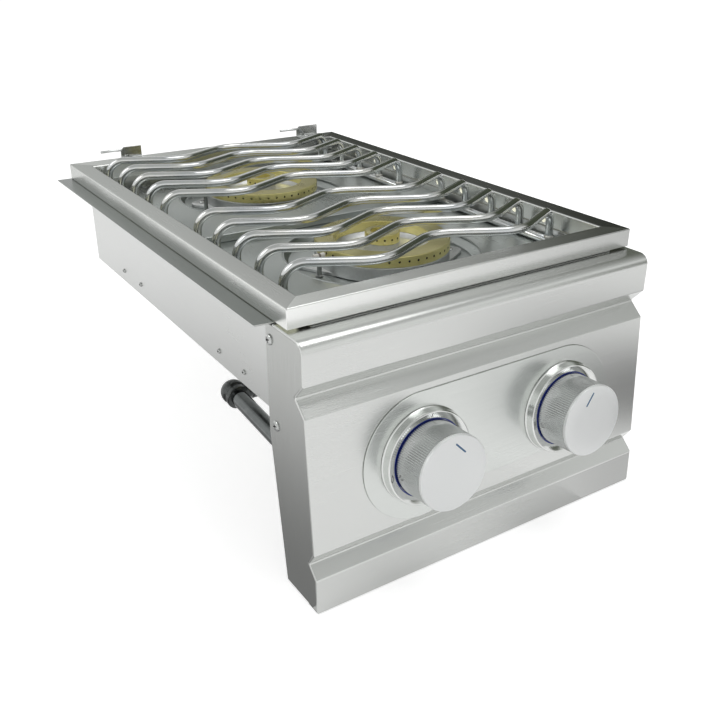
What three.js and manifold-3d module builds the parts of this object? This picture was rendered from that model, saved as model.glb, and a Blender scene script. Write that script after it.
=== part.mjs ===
// Built-in double side burner for an outdoor kitchen: two gas burners, one behind the other,
// under bent-bar grates, in a stainless box that drops into a counter. The control panel hangs
// in front of the counter. Millimetres, +Z up, +Y to the back, +X to the right of the cook.
// The origin lies on the counter top, under the middle of the top frame.

import * as THREE from 'three';
import { mergeVertices } from 'three/addons/utils/BufferGeometryUtils.js';
import Module from 'manifold-3d';

const wasm = await Module();
wasm.setup();

// Clearances, cuts and the sheet that most pieces are folded from
const touchGap = 0.3;
const overrun = 3;
const sheet = 1.2;
const mergeReach = 0.0001;

// Top frame, a folded rim with an outer skirt and an inner lip
const frameOverBox = 41;
const frameTop = 19;
const sideBand = 20;
const frontBand = 20;
const backBand = 27;
const frameEdgeRadius = 1.6;
const ventRadius = 4.6;
const ventsBeforeGap = 5;
const ventsAfterGap = 4;
const ventHeight = 8.5;
const firstVentFromFront = 94.6;
const lastVentFromBack = 51.9;

// Burner box under the frame, with the side flanges that rest on the counter
const boxWidth = 327;
const boxDrop = 104;
const boxFrontInset = 31;
const boxBackProud = 2;
const flangeReach = 36.8;
const flangeFrontInset = 22.5;
const flangeCornerCut = 3.5;
const frontShelf = 29;
const floorAirRadius = 45;

// Burners
const ringOuterRadius = 66;
const ringWidth = 19;
const ringBottom = -5;
const ringHeight = 10;
const ringWall = 3;
const ringChamfer = 1.4;
const innerRingRadius = 17;
const innerRingBore = 11;
const innerRingHeight = 10;
const neckRadius = 16;
const neckBore = 12;
const dishDrop = 5;
const earOutFromRing = 9;
const earRadius = 9;
const earTurn = 165;
const earHoleOutFromRing = 5;
const earHoleRadius = 2.6;

// Burner tray, with a round well under each burner, and the bridge laid across it
const trayDrop = 12;
const trayEdgeFold = 12;
const wellDepth = 8;
const wellFloorOutFromRing = 25.5;
const wellSlope = 3.5;
const wellHoleInFromRing = 4;
const bridgeHeight = 8;
const bridgeWidth = 69;
const bridgeBackOfMiddle = 16.5;

// Grates of bent round bar
const barRadius = 4;
const barInFromBox = 13.5;
const barAxis = 26;
const barPitch = 43.3;
const barsPerGrate = 5;
const gratesApart = 42.8;
const frontGrateClear = 38.4;
const rearGrateClear = 34.4;
const frontGrateForward = 3.4;
const rearGrateForward = 3.9;
const frontGrateRightOfMiddle = 2.5;
const waveDepth = 38;
const waveCornerRadius = 24;
const legBendRadius = 19;

// Mixer tubes, injectors and burner supports under the tray
const mixerAxisDrop = 62;
const mixerRadius = 14;
const mixerBore = 12;
const mixerLength = 80;
const mixerMouthRadius = 18;
const mixerMouthLength = 10;
const mixerEnd = 17;
const injectorRadius = 6.5;
const injectorHexLength = 9;
const injectorNoseRadius = 3.4;
const injectorNoseLength = 6;
const injectorBore = 1.1;
const airGap = 3;
const supportWidth = 58;
const supportLip = 8;
const supportTab = 22;

// Igniters beside the burners
const igniterRadius = 2.4;
const igniterRise = 0.3;
const igniterBehind = 6.5;
const igniterAhead = 6;
const igniterOutFromRing = 10;
const igniterTurn = 186;
const electrodeRadius = 0.9;
const electrodeLength = 2.2;

// Fascia, given by its reach in front of the frame and its drop under the counter top
const fasciaOverFrame = 3.4;
const fasciaSheet = 1.5;
const fasciaTopInset = 21;
const noseReach = 25;
const noseRadius = 10.5;
const upperBandDrop = 35.5;
const upperGrooveDepth = 12.5;
const upperGrooveFall = 14;
const panelTopReach = 26.5;
const panelTopFall = 12.5;
const panelLean = THREE.MathUtils.degToRad(4.5);
const lowerGrooveDepth = 8.5;
const lowerGrooveFall = 12.5;
const lowerBandTopOut = 2.5;
const lowerBandTopFall = 10.5;
const lowerBandOut = 4;
const lowerBandHeight = 34;
const fasciaBottomReturn = 15;

// End panels beside the fascia
const endPanelTaperDrop = 100;
const endPanelFootInset = 11.5;

// Control plate, knobs and what stands round them, measured along the panel and out from it
const knobSpacing = 156.5;
const knobsRightOfMiddle = 2.25;
const knobBelowPanelTop = 63.4;
const plateLift = 1.5;
const plateLobeRadius = 58;
const plateLobesOutFromKnobs = 2.5;
const plateLowerEdge = 41;
const stemHoleRadius = 9;
const bezelWidth = 7.4;
const bezelTaper = 1.4;
const bezelHeight = 10.5;
const bezelFaceDrop = 1.2;
const ledWall = 1.6;
const ledClearance = 0.6;
const ledHeight = 12;
const knobBaseRadius = 34.1;
const knobTaper = 0.5;
const knobBack = 6.5;
const knobFront = 42;
const knobWall = 2.6;
const knobFaceThickness = 4;
const knobEdge = 1.6;
const knobHubRadius = 9;
const knobHubLength = 16;

// Valves behind the panel, measured along the knob's axis
const stemRadius = 4;
const collarRadius = 6.5;
const collarThickness = 2;
const valveNoseRadius = 11;
const valveNoseFront = -8;
const valveBlockFront = -26;
const valveBack = -54;
const valveBlockWidth = 25;
const plugRadius = 7;
const plugFront = -28;
const plugBack = -46;
const plugSocketDepth = 13;
const stemIntoPlug = 6;
const valveOutletBack = -40;
const valveBossRadius = 8;

// Gas pipes
const pipeRadius = 8.6;
const pipeBore = 6.3;
const manifoldDrop = 25;
const manifoldBack = -40;
const manifoldOverhang = 31;
const inletInFromBox = 13.5;
const inletBendRadius = 22;
const inletEndY = -101.5;
const inletRise = 12.5;
const elbowRadius = 12.6;
const elbowReach = 13;
const elbowArm = 27;
const elbowNutRadius = 12.2;
const elbowNutLength = 6;
const gasTubeRadius = 4;
const gasTubeBend = 13;
const gasTubeDrop = 62;
const tubeHoleRadius = 7;
const rearTubeCrossAheadOfMiddle = 12;

// Hinge brackets and pins for a lid, on the back band
const leftBracketInset = 74;
const rightBracketInset = 46;
const leftBracketWidth = 26;
const rightBracketWidth = 32;
const bracketHeight = 14;
const bracketSheet = 1.5;
const bracketFoot = 13;
const bracketInset = 8;
const bracketCorner = 4;
const pinRadius = 1.5;
const pinLength = 38;
const pinReach = 24;
const pinBelowTop = 4;

// Facet counts
const finelyRound = 28;
const round = 20;
const coarselyRound = 12;
const barSides = 6;
const hexSides = 6;
const arcSteps = 3;

// Places that several pieces share
const grateDepth = barPitch * (barsPerGrate - 1);
const burnerSpacing = grateDepth + waveDepth + gratesApart;
const frontBurnerInset = (grateDepth + waveDepth) / 2 + frontGrateClear;
const rearBurnerInset = (grateDepth + waveDepth) / 2 + rearGrateClear;
const frameDepth = frontBurnerInset + burnerSpacing + rearBurnerInset;
const frameWidth = boxWidth + frameOverBox;
const fasciaWidth = frameWidth + fasciaOverFrame;
const frameFront = -frameDepth / 2;
const frameBack = frameDepth / 2;
const ventPitch = (frameDepth - firstVentFromFront - lastVentFromBack) / (ventsBeforeGap + ventsAfterGap);
const frontBurnerY = frameFront + frontBurnerInset;
const rearBurnerY = frameBack - rearBurnerInset;
const burnersMiddle = (frontBurnerY + rearBurnerY) / 2;
const bridgeY = burnersMiddle + bridgeBackOfMiddle;
const rearTubeCrossY = burnersMiddle - rearTubeCrossAheadOfMiddle;
const firstLegFromBurner = (waveDepth - grateDepth) / 2;
const frontGrateFirstLeg = frontBurnerY + firstLegFromBurner - frontGrateForward;
const rearGrateFirstLeg = rearBurnerY + firstLegFromBurner - rearGrateForward;
const wallInside = boxWidth / 2 - sheet;
const boxFront = frameFront + boxFrontInset;
const boxBack = frameBack + boxBackProud;
const frontWallBack = boxFront + sheet;
const rearWallFront = boxBack - sheet;
const trayHalfWidth = wallInside - touchGap;
const wellFloor = -trayDrop - wellDepth;
const ringInnerRadius = ringOuterRadius - ringWidth;
const earReach = ringOuterRadius + earOutFromRing;
const earHoleReach = ringOuterRadius + earHoleOutFromRing;
const igniterReach = ringOuterRadius + igniterOutFromRing;
const wellFloorRadius = ringOuterRadius + wellFloorOutFromRing;
const wellRimRadius = wellFloorRadius + wellSlope;
const wellHoleRadius = ringInnerRadius - wellHoleInFromRing;
const barSpan = boxWidth / 2 - barInFromBox;
const inletX = inletInFromBox - boxWidth / 2;
const railAxis = -trayDrop + touchGap + barRadius;
const upperGrooveReach = noseReach - upperGrooveDepth;
const upperGrooveDrop = upperBandDrop + upperGrooveFall;
const panelTopDrop = upperGrooveDrop + panelTopFall;
const panelBottomDrop = panelTopDrop + (knobBelowPanelTop + plateLobeRadius) * Math.cos(panelLean);
const panelBottomReach = panelTopReach + (panelBottomDrop - panelTopDrop) * Math.tan(panelLean);
const lowerGrooveReach = panelBottomReach - lowerGrooveDepth;
const lowerGrooveDrop = panelBottomDrop + lowerGrooveFall;
const lowerBandTopReach = panelBottomReach + lowerBandTopOut;
const lowerBandTopDrop = lowerGrooveDrop + lowerBandTopFall;
const lowerBandReach = panelBottomReach + lowerBandOut;
const fasciaDrop = lowerBandTopDrop + lowerBandHeight;
const endPanelInset = fasciaSheet + touchGap;
const panelOrigin = new THREE.Vector3(
  0,
  frameFront - panelTopReach - knobBelowPanelTop * Math.sin(panelLean),
  -panelTopDrop - knobBelowPanelTop * Math.cos(panelLean),
);
const knobFaceRadius = knobBaseRadius - knobTaper;
const ledInnerRadius = knobBaseRadius + ledClearance;
const ledOuterRadius = ledInnerRadius + ledWall;
const bezelBore = ledOuterRadius + touchGap;
const bezelRadius = bezelBore + bezelWidth;
const bezelFaceRadius = bezelRadius - bezelTaper;
const leftBracketX = leftBracketInset - frameWidth / 2;
const rightBracketX = frameWidth / 2 - rightBracketInset;
const leftKnobX = knobsRightOfMiddle - knobSpacing / 2;
const rightKnobX = knobsRightOfMiddle + knobSpacing / 2;
const burners = [
  { name: 'front', y: frontBurnerY, tubeX: leftKnobX },
  { name: 'rear', y: rearBurnerY, tubeX: rightKnobX },
];

// Finishes
function finish(color, roughness, metalness) {
  return new THREE.MeshStandardMaterial({ color, roughness, metalness });
}
const brushedSteel = finish(0xc9cbc8, 0.34, 1);
const polishedSteel = finish(0xd6d8d6, 0.16, 1);
const traySteel = finish(0xa9afad, 0.42, 1);
const barSteel = finish(0xdadcdc, 0.14, 1);
const brass = finish(0xb79a45, 0.38, 1);
const castAlloy = finish(0xb9bbb8, 0.5, 1);
const darkFitting = finish(0x2b2e2d, 0.3, 1);
const satinKnob = finish(0xd9dcdb, 0.3, 1);
const ceramic = finish(0xe9e7e0, 0.5, 0);
const blueLight = finish(0x1b3fc4, 0.3, 0);

// Closed meshes, and joins and cuts of them
function weld(geometry) {
  geometry.deleteAttribute('normal');
  geometry.deleteAttribute('uv');
  const merged = mergeVertices(geometry, mergeReach);
  const old = merged.index.array;
  const kept = [];
  for (let i = 0; i < old.length; i += 3) {
    const [a, b, c] = [old[i], old[i + 1], old[i + 2]];
    if (a !== b && b !== c && c !== a) kept.push(a, b, c);
  }
  merged.setIndex(kept);
  merged.computeVertexNormals();
  return merged;
}

function solidOf(geometry) {
  const welded = weld(geometry.clone());
  return new wasm.Manifold(new wasm.Mesh({
    numProp: 3,
    vertProperties: new Float32Array(welded.attributes.position.array),
    triVerts: new Uint32Array(welded.index.array),
  }));
}

function geometryOf(solid) {
  const mesh = solid.getMesh();
  const geometry = new THREE.BufferGeometry();
  geometry.setAttribute('position', new THREE.BufferAttribute(mesh.vertProperties, 3));
  geometry.setIndex(new THREE.BufferAttribute(mesh.triVerts, 1));
  geometry.computeVertexNormals();
  return geometry;
}

function join(...geometries) {
  return geometryOf(geometries.map(solidOf).reduce((sum, next) => sum.add(next)));
}

function cut(geometry, ...tools) {
  return geometryOf(tools.map(solidOf).reduce((rest, tool) => rest.subtract(tool), solidOf(geometry)));
}

// Blocks, prisms, turned pieces and bars
function block(x0, x1, y0, y1, z0, z1) {
  const geometry = new THREE.BoxGeometry(x1 - x0, y1 - y0, z1 - z0);
  return geometry.translate((x0 + x1) / 2, (y0 + y1) / 2, (z0 + z1) / 2);
}

function shapeOf(outline) {
  return new THREE.Shape(outline.map(([a, b]) => new THREE.Vector2(a, b)));
}

function extrude(shape, depth, curveSegments = finelyRound) {
  return new THREE.ExtrudeGeometry(shape, { depth, bevelEnabled: false, curveSegments });
}

function prismUp(shape, z0, z1, curveSegments) {
  return extrude(shape, z1 - z0, curveSegments).translate(0, 0, z0);
}

function prismAlongX(outline, x0, x1) {
  const turn = new THREE.Matrix4().makeBasis(
    new THREE.Vector3(0, 1, 0),
    new THREE.Vector3(0, 0, 1),
    new THREE.Vector3(1, 0, 0),
  );
  return extrude(shapeOf(outline), x1 - x0).applyMatrix4(turn).translate(x0, 0, 0);
}

function cylinder(radius, z0, z1, sides) {
  const geometry = new THREE.CylinderGeometry(radius, radius, z1 - z0, sides);
  return geometry.rotateX(Math.PI / 2).translate(0, 0, (z0 + z1) / 2);
}

function cylinderAlongX(radius, x0, x1, sides) {
  return cylinder(radius, x0, x1, sides).rotateY(Math.PI / 2);
}

function cylinderAlongY(radius, y0, y1, sides) {
  return cylinder(radius, -y1, -y0, sides).rotateX(Math.PI / 2);
}

function turned(profile, sides) {
  const closed = profile[0][0] === 0 ? profile : [...profile, profile[0]];
  const points = closed.map(([radius, height]) => new THREE.Vector2(radius, height));
  return new THREE.LatheGeometry(points, sides).rotateX(Math.PI / 2);
}

function arc(centreA, centreB, radius, fromDegrees, toDegrees, steps = arcSteps) {
  const points = [];
  for (let i = 0; i <= steps; i += 1) {
    const angle = THREE.MathUtils.degToRad(fromDegrees + ((toDegrees - fromDegrees) * i) / steps);
    points.push([centreA + radius * Math.cos(angle), centreB + radius * Math.sin(angle)]);
  }
  return points;
}

// A folded sheet seen on edge: the line of one face and the same line set over by the thickness
function setOver(line, distance) {
  return line.map((point, i) => {
    const before = line[Math.max(i - 1, 0)];
    const after = line[Math.min(i + 1, line.length - 1)];
    const normals = [];
    for (const [from, to] of [[before, point], [point, after]]) {
      const length = Math.hypot(to[0] - from[0], to[1] - from[1]);
      if (length > 0) normals.push([-(to[1] - from[1]) / length, (to[0] - from[0]) / length]);
    }
    const first = normals[0];
    const last = normals[normals.length - 1];
    const spread = 1 + first[0] * last[0] + first[1] * last[1];
    const reach = distance / spread;
    return [point[0] + (first[0] + last[0]) * reach, point[1] + (first[1] + last[1]) * reach];
  });
}

function foldedSheet(line, thickness) {
  return [...line, ...setOver(line, thickness).reverse()];
}

// A route with rounded corners, as stations for a bar that is swept along it
function roundedRoute(corners, radii, steps = arcSteps) {
  const stations = [corners[0].clone()];
  for (let i = 1; i < corners.length - 1; i += 1) {
    const corner = corners[i];
    const back = corners[i - 1].clone().sub(corner).normalize();
    const ahead = corners[i + 1].clone().sub(corner).normalize();
    const half = back.angleTo(ahead) / 2;
    const reach = radii[i - 1] / Math.tan(half);
    const centre = back.clone().add(ahead).normalize().multiplyScalar(radii[i - 1] / Math.sin(half)).add(corner);
    const start = back.clone().multiplyScalar(reach).add(corner).sub(centre);
    const end = ahead.clone().multiplyScalar(reach).add(corner).sub(centre);
    const sweep = start.angleTo(end);
    for (let step = 0; step <= steps; step += 1) {
      const share = step / steps;
      const fromStart = start.clone().multiplyScalar(Math.sin((1 - share) * sweep) / Math.sin(sweep));
      const fromEnd = end.clone().multiplyScalar(Math.sin(share * sweep) / Math.sin(sweep));
      stations.push(fromStart.add(fromEnd).add(centre));
    }
  }
  stations.push(corners[corners.length - 1].clone());
  return stations;
}

class StationCurve extends THREE.Curve {
  constructor(stations) {
    super();
    this.stations = stations;
  }

  getPoint(t, target = new THREE.Vector3()) {
    const last = this.stations.length - 1;
    const i = Math.min(Math.floor(t * last), last - 1);
    return target.lerpVectors(this.stations[i], this.stations[i + 1], t * last - i);
  }

  getUtoTmapping(u) {
    return u;
  }
}

function bar(stations, radius, sides, bore = 0) {
  const section = new THREE.Shape().absarc(0, 0, radius, 0, Math.PI * 2);
  if (bore > 0) section.holes.push(new THREE.Path().absarc(0, 0, bore, 0, Math.PI * 2, true));
  return new THREE.ExtrudeGeometry(section, {
    steps: stations.length - 1,
    curveSegments: sides / 2,
    bevelEnabled: false,
    extrudePath: new StationCurve(stations),
  });
}

// A rectangular rim with mitred corners, from a section given as [share of the band, offset, height]
function mitredRim(section) {
  const positions = [];
  for (const [bandShare, offset, height] of section) {
    const side = frameWidth / 2 - bandShare * sideBand - offset;
    const front = frameFront + bandShare * frontBand + offset;
    const back = frameBack - bandShare * backBand - offset;
    positions.push(-side, front, height, side, front, height, side, back, height, -side, back, height);
  }
  const index = [];
  for (let p = 0; p < section.length; p += 1) {
    const next = (p + 1) % section.length;
    for (let corner = 0; corner < 4; corner += 1) {
      const turn = (corner + 1) % 4;
      const [a, b] = [p * 4 + corner, p * 4 + turn];
      const [c, d] = [next * 4 + turn, next * 4 + corner];
      index.push(a, b, c, a, c, d);
    }
  }
  const geometry = new THREE.BufferGeometry();
  geometry.setAttribute('position', new THREE.Float32BufferAttribute(positions, 3));
  geometry.setIndex(index);
  geometry.computeVertexNormals();
  return geometry;
}

// The part, as one group of named pieces
const group = new THREE.Group();

function piece(name, geometry, material, parent = group) {
  const mesh = new THREE.Mesh(weld(geometry), material);
  mesh.name = name;
  parent.add(mesh);
  return mesh;
}

function topFrame() {
  const bottom = sheet + touchGap;
  const edge = arc(frameEdgeRadius, frameTop - frameEdgeRadius, frameEdgeRadius, 180, 90, 2);
  const section = [
    [0, 0, bottom],
    ...edge.map(([offset, height]) => [0, offset, height]),
    ...edge.slice().reverse().map(([offset, height]) => [1, -offset, height]),
    [1, 0, bottom],
    [1, -sheet, bottom],
    [1, -sheet, frameTop - sheet],
    [0, sheet, frameTop - sheet],
    [0, sheet, bottom],
  ];
  const lip = frameWidth / 2 - sideBand;
  const vents = [];
  for (let i = 0; i <= ventsBeforeGap + ventsAfterGap; i += 1) {
    if (i === ventsBeforeGap) continue;
    const y = frameFront + firstVentFromFront + i * ventPitch;
    for (const x of [-lip, lip]) {
      const hole = cylinderAlongX(ventRadius, x - overrun, x + overrun, coarselyRound);
      vents.push(hole.translate(0, y, ventHeight));
    }
  }
  piece('top_frame', cut(mitredRim(section), ...vents), brushedSteel);
}

function boxSide(name, side) {
  const wall = block(wallInside, boxWidth / 2, boxFront, boxBack, -boxDrop, sheet);
  const flangeFront = frameFront + flangeFrontInset;
  const outer = boxWidth / 2 + flangeReach;
  const flange = prismUp(shapeOf([
    [wallInside, flangeFront - flangeCornerCut],
    [outer, flangeFront],
    [outer, boxBack],
    [wallInside, boxBack],
  ]), 0, sheet);
  const mesh = piece(name, join(wall, flange), brushedSteel);
  if (side < 0) mesh.geometry = mirrored(mesh.geometry);
}

// The left-hand twin of a right-hand piece
function mirrored(geometry) {
  const twin = geometry.clone().scale(-1, 1, 1);
  const index = twin.index.array;
  for (let i = 0; i < index.length; i += 3) {
    [index[i], index[i + 1]] = [index[i + 1], index[i]];
  }
  twin.computeVertexNormals();
  return twin;
}

function boxEnds() {
  const shelfFront = boxFront - frontShelf;
  const frontLine = [[shelfFront, 0], [boxFront, 0], [boxFront, -boxDrop]];
  const front = prismAlongX(foldedSheet(frontLine, sheet), -trayHalfWidth, trayHalfWidth);
  const tubeHoles = [0, rightKnobX].map((x) => (
    cylinderAlongY(tubeHoleRadius, boxFront - overrun, frontWallBack + overrun, coarselyRound)
      .translate(x, 0, -gasTubeDrop)
  ));
  piece('box_front_wall', cut(front, ...tubeHoles), brushedSteel);
  const rear = block(-trayHalfWidth, trayHalfWidth, rearWallFront, boxBack, -boxDrop, sheet);
  piece('box_rear_wall', rear, brushedSteel);
}

function boxFloor() {
  const halfWidth = trayHalfWidth;
  const front = frontWallBack + touchGap;
  const back = rearWallFront - touchGap;
  const floor = shapeOf([[-halfWidth, front], [halfWidth, front], [halfWidth, back], [-halfWidth, back]]);
  for (const burner of burners) {
    floor.holes.push(new THREE.Path().absarc(0, burner.y, floorAirRadius, 0, Math.PI * 2, true));
  }
  piece('box_floor', prismUp(floor, -boxDrop, -boxDrop + sheet, coarselyRound), brushedSteel);
}

function burnerTray() {
  const front = frontWallBack + touchGap;
  const back = rearWallFront - touchGap;
  const line = [
    [back, -trayDrop - trayEdgeFold],
    [back, -trayDrop],
    [front, -trayDrop],
    [front, -trayDrop - trayEdgeFold],
  ];
  const plate = prismAlongX(foldedSheet(line, sheet), -trayHalfWidth, trayHalfWidth);
  const lipDrop = -trayDrop - touchGap;
  const wellLine = [
    [wellRimRadius + sheet, lipDrop],
    [wellRimRadius, lipDrop],
    [wellFloorRadius, wellFloor],
    [wellHoleRadius, wellFloor],
  ];
  const holes = burners.map((burner) => (
    cylinder(wellRimRadius, -trayDrop - overrun, -trayDrop + overrun, finelyRound).translate(0, burner.y, 0)
  ));
  const wells = burners.map((burner) => (
    turned(foldedSheet(wellLine, sheet), finelyRound).translate(0, burner.y, 0)
  ));
  piece('burner_tray', join(cut(plate, ...holes), ...wells), traySteel);
}

function trayBridge() {
  const top = -trayDrop + bridgeHeight;
  const foot = -trayDrop + touchGap;
  const [front, back] = [bridgeY - bridgeWidth / 2, bridgeY + bridgeWidth / 2];
  const line = [[back, foot], [back, top], [front, top], [front, foot]];
  piece('tray_bridge', prismAlongX(foldedSheet(line, sheet), -trayHalfWidth, trayHalfWidth), traySteel);
}

function burnerSupport({ name, y }) {
  const top = -mixerAxisDrop - mixerRadius - touchGap;
  const halfWidth = supportWidth / 2;
  const line = [
    [halfWidth, top - supportLip],
    [halfWidth, top],
    [-halfWidth, top],
    [-halfWidth, top - supportLip],
  ];
  const channel = prismAlongX(foldedSheet(line, sheet), -trayHalfWidth, trayHalfWidth);
  const tabs = [-1, 1].map((side) => {
    const outer = side * trayHalfWidth;
    const inner = side * (trayHalfWidth - sheet);
    return block(Math.min(outer, inner), Math.max(outer, inner), -halfWidth, halfWidth, top - supportTab, top);
  });
  piece(`burner_support_${name}`, join(channel, ...tabs).translate(0, y, 0), brushedSteel);
}

// Burners
function burnerBase({ name, y }) {
  const seat = wellFloor + touchGap;
  const top = ringBottom - touchGap;
  const postTop = ringBottom + dishDrop - touchGap;
  const neckBottom = -mixerAxisDrop + mixerRadius + touchGap;
  const channelFloor = seat + ringWall;
  const dish = ringBottom - dishDrop;
  const bodyProfile = [
    [0, dish - ringWall],
    [neckBore, dish - ringWall],
    [neckBore, neckBottom],
    [neckRadius, neckBottom],
    [neckRadius, seat - ringWall],
    [wellHoleRadius - ringWall, seat - ringWall],
    [wellHoleRadius - ringWall, seat],
    [ringOuterRadius, seat],
    [ringOuterRadius, top],
    [ringOuterRadius - ringWall, top],
    [ringOuterRadius - ringWall, channelFloor],
    [ringInnerRadius + ringWall, channelFloor],
    [ringInnerRadius + ringWall, top],
    [ringInnerRadius, top],
    [ringInnerRadius - ringWall, dish],
    [innerRingRadius + ringWall, dish],
    [innerRingRadius, postTop],
    [0, postTop],
  ];
  const body = turned(bodyProfile, finelyRound);
  const earRoot = ringOuterRadius - ringWall;
  const tangent = Math.acos((earRoot - earRadius) / earReach);
  const tangentDegrees = THREE.MathUtils.radToDeg(tangent);
  const ears = [0, Math.PI].map((halfTurn) => {
    const ear = shapeOf([
      [earRoot * Math.cos(tangent), -earRoot * Math.sin(tangent)],
      ...arc(earReach, 0, earRadius, -tangentDegrees, tangentDegrees),
      [earRoot * Math.cos(tangent), earRoot * Math.sin(tangent)],
    ]);
    ear.holes.push(new THREE.Path().absarc(earHoleReach, 0, earHoleRadius, 0, Math.PI * 2, true));
    const turn = THREE.MathUtils.degToRad(earTurn) + halfTurn;
    return prismUp(ear, seat, seat + ringWall, barSides / 2).rotateZ(turn);
  });
  piece(`burner_base_${name}`, join(body, ...ears).translate(0, y, 0), castAlloy);
}

function outerRing({ name, y }) {
  const top = ringBottom + ringHeight;
  const profile = [
    [ringInnerRadius, ringBottom],
    [ringInnerRadius + ringWall, ringBottom],
    [ringInnerRadius + ringWall, top - ringWall],
    [ringOuterRadius - ringWall, top - ringWall],
    [ringOuterRadius - ringWall, ringBottom],
    [ringOuterRadius, ringBottom],
    [ringOuterRadius, top - ringChamfer],
    [ringOuterRadius - ringChamfer, top],
    [ringInnerRadius + ringChamfer, top],
    [ringInnerRadius, top - ringChamfer],
  ];
  piece(`outer_burner_ring_${name}`, turned(profile, finelyRound).translate(0, y, 0), brass);
}

function innerRing({ name, y }) {
  const bottom = ringBottom + dishDrop;
  const top = bottom + innerRingHeight;
  const profile = [
    [innerRingBore, bottom],
    [innerRingRadius, bottom],
    [innerRingRadius, top - ringChamfer],
    [innerRingRadius - ringChamfer, top],
    [innerRingBore, top],
  ];
  piece(`inner_burner_ring_${name}`, turned(profile, round).translate(0, y, 0), brass);
}

function igniter({ name, y }) {
  const post = cylinder(igniterRadius, wellFloor + touchGap, igniterRise, coarselyRound);
  const barrel = cylinderAlongX(igniterRadius, -igniterBehind, igniterAhead, coarselyRound).translate(0, 0, igniterRise);
  const tip = cylinderAlongX(electrodeRadius, 0, igniterAhead + electrodeLength, barSides).translate(0, 0, igniterRise);
  const turn = THREE.MathUtils.degToRad(igniterTurn);
  const place = join(post, barrel, tip).rotateZ(turn + Math.PI)
    .translate(igniterReach * Math.cos(turn), y + igniterReach * Math.sin(turn), 0);
  piece(`igniter_${name}`, place, ceramic);
}

function mixerTube({ name, y }) {
  const mouth = -mixerLength;
  const mouthBack = mouth + mixerMouthLength;
  const outer = [
    [0, mouth],
    [mixerMouthRadius, mouth],
    [mixerRadius, mouthBack],
    [mixerRadius, mixerEnd],
    [0, mixerEnd],
  ];
  const inner = [
    [0, mouth - overrun],
    [mixerMouthRadius - mixerRadius + mixerBore, mouth - overrun],
    [mixerMouthRadius - mixerRadius + mixerBore, mouth],
    [mixerBore, mouthBack],
    [mixerBore, 0],
    [0, mixerBore],
  ];
  const lying = (profile) => turned(profile, round).rotateX(-Math.PI / 2);
  const neckTop = mixerRadius;
  const neck = cylinder(neckRadius, 0, neckTop, round);
  const neckHole = cylinder(neckBore, 0, neckTop + overrun, round);
  const tube = cut(join(lying(outer), neck), lying(inner), neckHole);
  piece(`mixer_tube_${name}`, tube.translate(0, y, -mixerAxisDrop), castAlloy);
}

function injectorTip(y) {
  return y - mixerLength - airGap;
}

function injector({ name, y }) {
  const tip = injectorTip(y);
  const hexFront = tip - injectorNoseLength;
  const hexBack = hexFront - injectorHexLength;
  const hex = cylinderAlongY(injectorRadius, hexBack, hexFront, hexSides);
  const nose = cylinderAlongY(injectorNoseRadius, hexFront - overrun, tip, coarselyRound);
  const bore = cylinderAlongY(injectorBore, hexFront - overrun, tip + overrun, barSides);
  const socket = cylinderAlongY(injectorNoseRadius, hexBack - overrun, hexFront - overrun, barSides);
  const fitting = cut(join(hex, nose), bore, socket);
  piece(`gas_injector_${name}`, fitting.translate(0, 0, -gasTubeDrop), brass);
}

// Grates
function grate(name, x, firstLeg) {
  const legFoot = railAxis + barRadius + touchGap;
  const waveShares = [[-1, 0], [-0.5, 1], [0, 0], [0.5, 1], [1, 0]];
  const radii = [legBendRadius, waveCornerRadius, waveCornerRadius, waveCornerRadius, legBendRadius];
  for (let i = 0; i < barsPerGrate; i += 1) {
    const y = firstLeg + i * barPitch;
    const route = waveShares.map(([spanShare, depthShare]) => (
      new THREE.Vector3(x + spanShare * barSpan, y - depthShare * waveDepth, barAxis)
    ));
    route.unshift(route[0].clone().setZ(legFoot));
    route.push(route[route.length - 1].clone().setZ(legFoot));
    piece(`${name}_grate_bar_${i + 1}`, bar(roundedRoute(route, radii), barRadius, barSides), barSteel);
  }
  const lastLeg = firstLeg + (barsPerGrate - 1) * barPitch;
  for (const [sideName, side] of [['left', -1], ['right', 1]]) {
    const rail = cylinderAlongY(barRadius, firstLeg - barRadius, lastLeg + barRadius, barSides * 2);
    piece(`${name}_grate_rail_${sideName}`, rail.translate(x + side * barSpan, 0, railAxis), barSteel);
  }
}

// Fascia and end panels
function fasciaFace() {
  const at = (reach, drop) => [frameFront - reach, -drop];
  const nose = arc(frameFront - noseReach + noseRadius, -touchGap - noseRadius, noseRadius, 90, 180);
  return [
    [frameFront + fasciaTopInset, -touchGap],
    ...nose,
    at(noseReach, upperBandDrop),
    at(upperGrooveReach, upperGrooveDrop),
    at(panelTopReach, panelTopDrop),
    at(panelBottomReach, panelBottomDrop),
    at(lowerGrooveReach, lowerGrooveDrop),
    at(lowerBandTopReach, lowerBandTopDrop),
    at(lowerBandReach, fasciaDrop),
  ];
}

function onPanel() {
  const frame = new THREE.Group();
  frame.position.copy(panelOrigin);
  frame.rotation.x = Math.PI / 2 - panelLean;
  frame.updateMatrix();
  return frame;
}

function fascia() {
  const line = [...fasciaFace(), [frameFront - lowerBandReach + fasciaBottomReturn, -fasciaDrop]];
  const skin = prismAlongX(foldedSheet(line, fasciaSheet), -fasciaWidth / 2, fasciaWidth / 2);
  const holes = [leftKnobX, rightKnobX].map((x) => (
    cylinder(stemHoleRadius, -overrun, overrun, round).translate(x, 0, 0).applyMatrix4(onPanel().matrix)
  ));
  piece('fascia', cut(skin, ...holes), brushedSteel);
}

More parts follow.
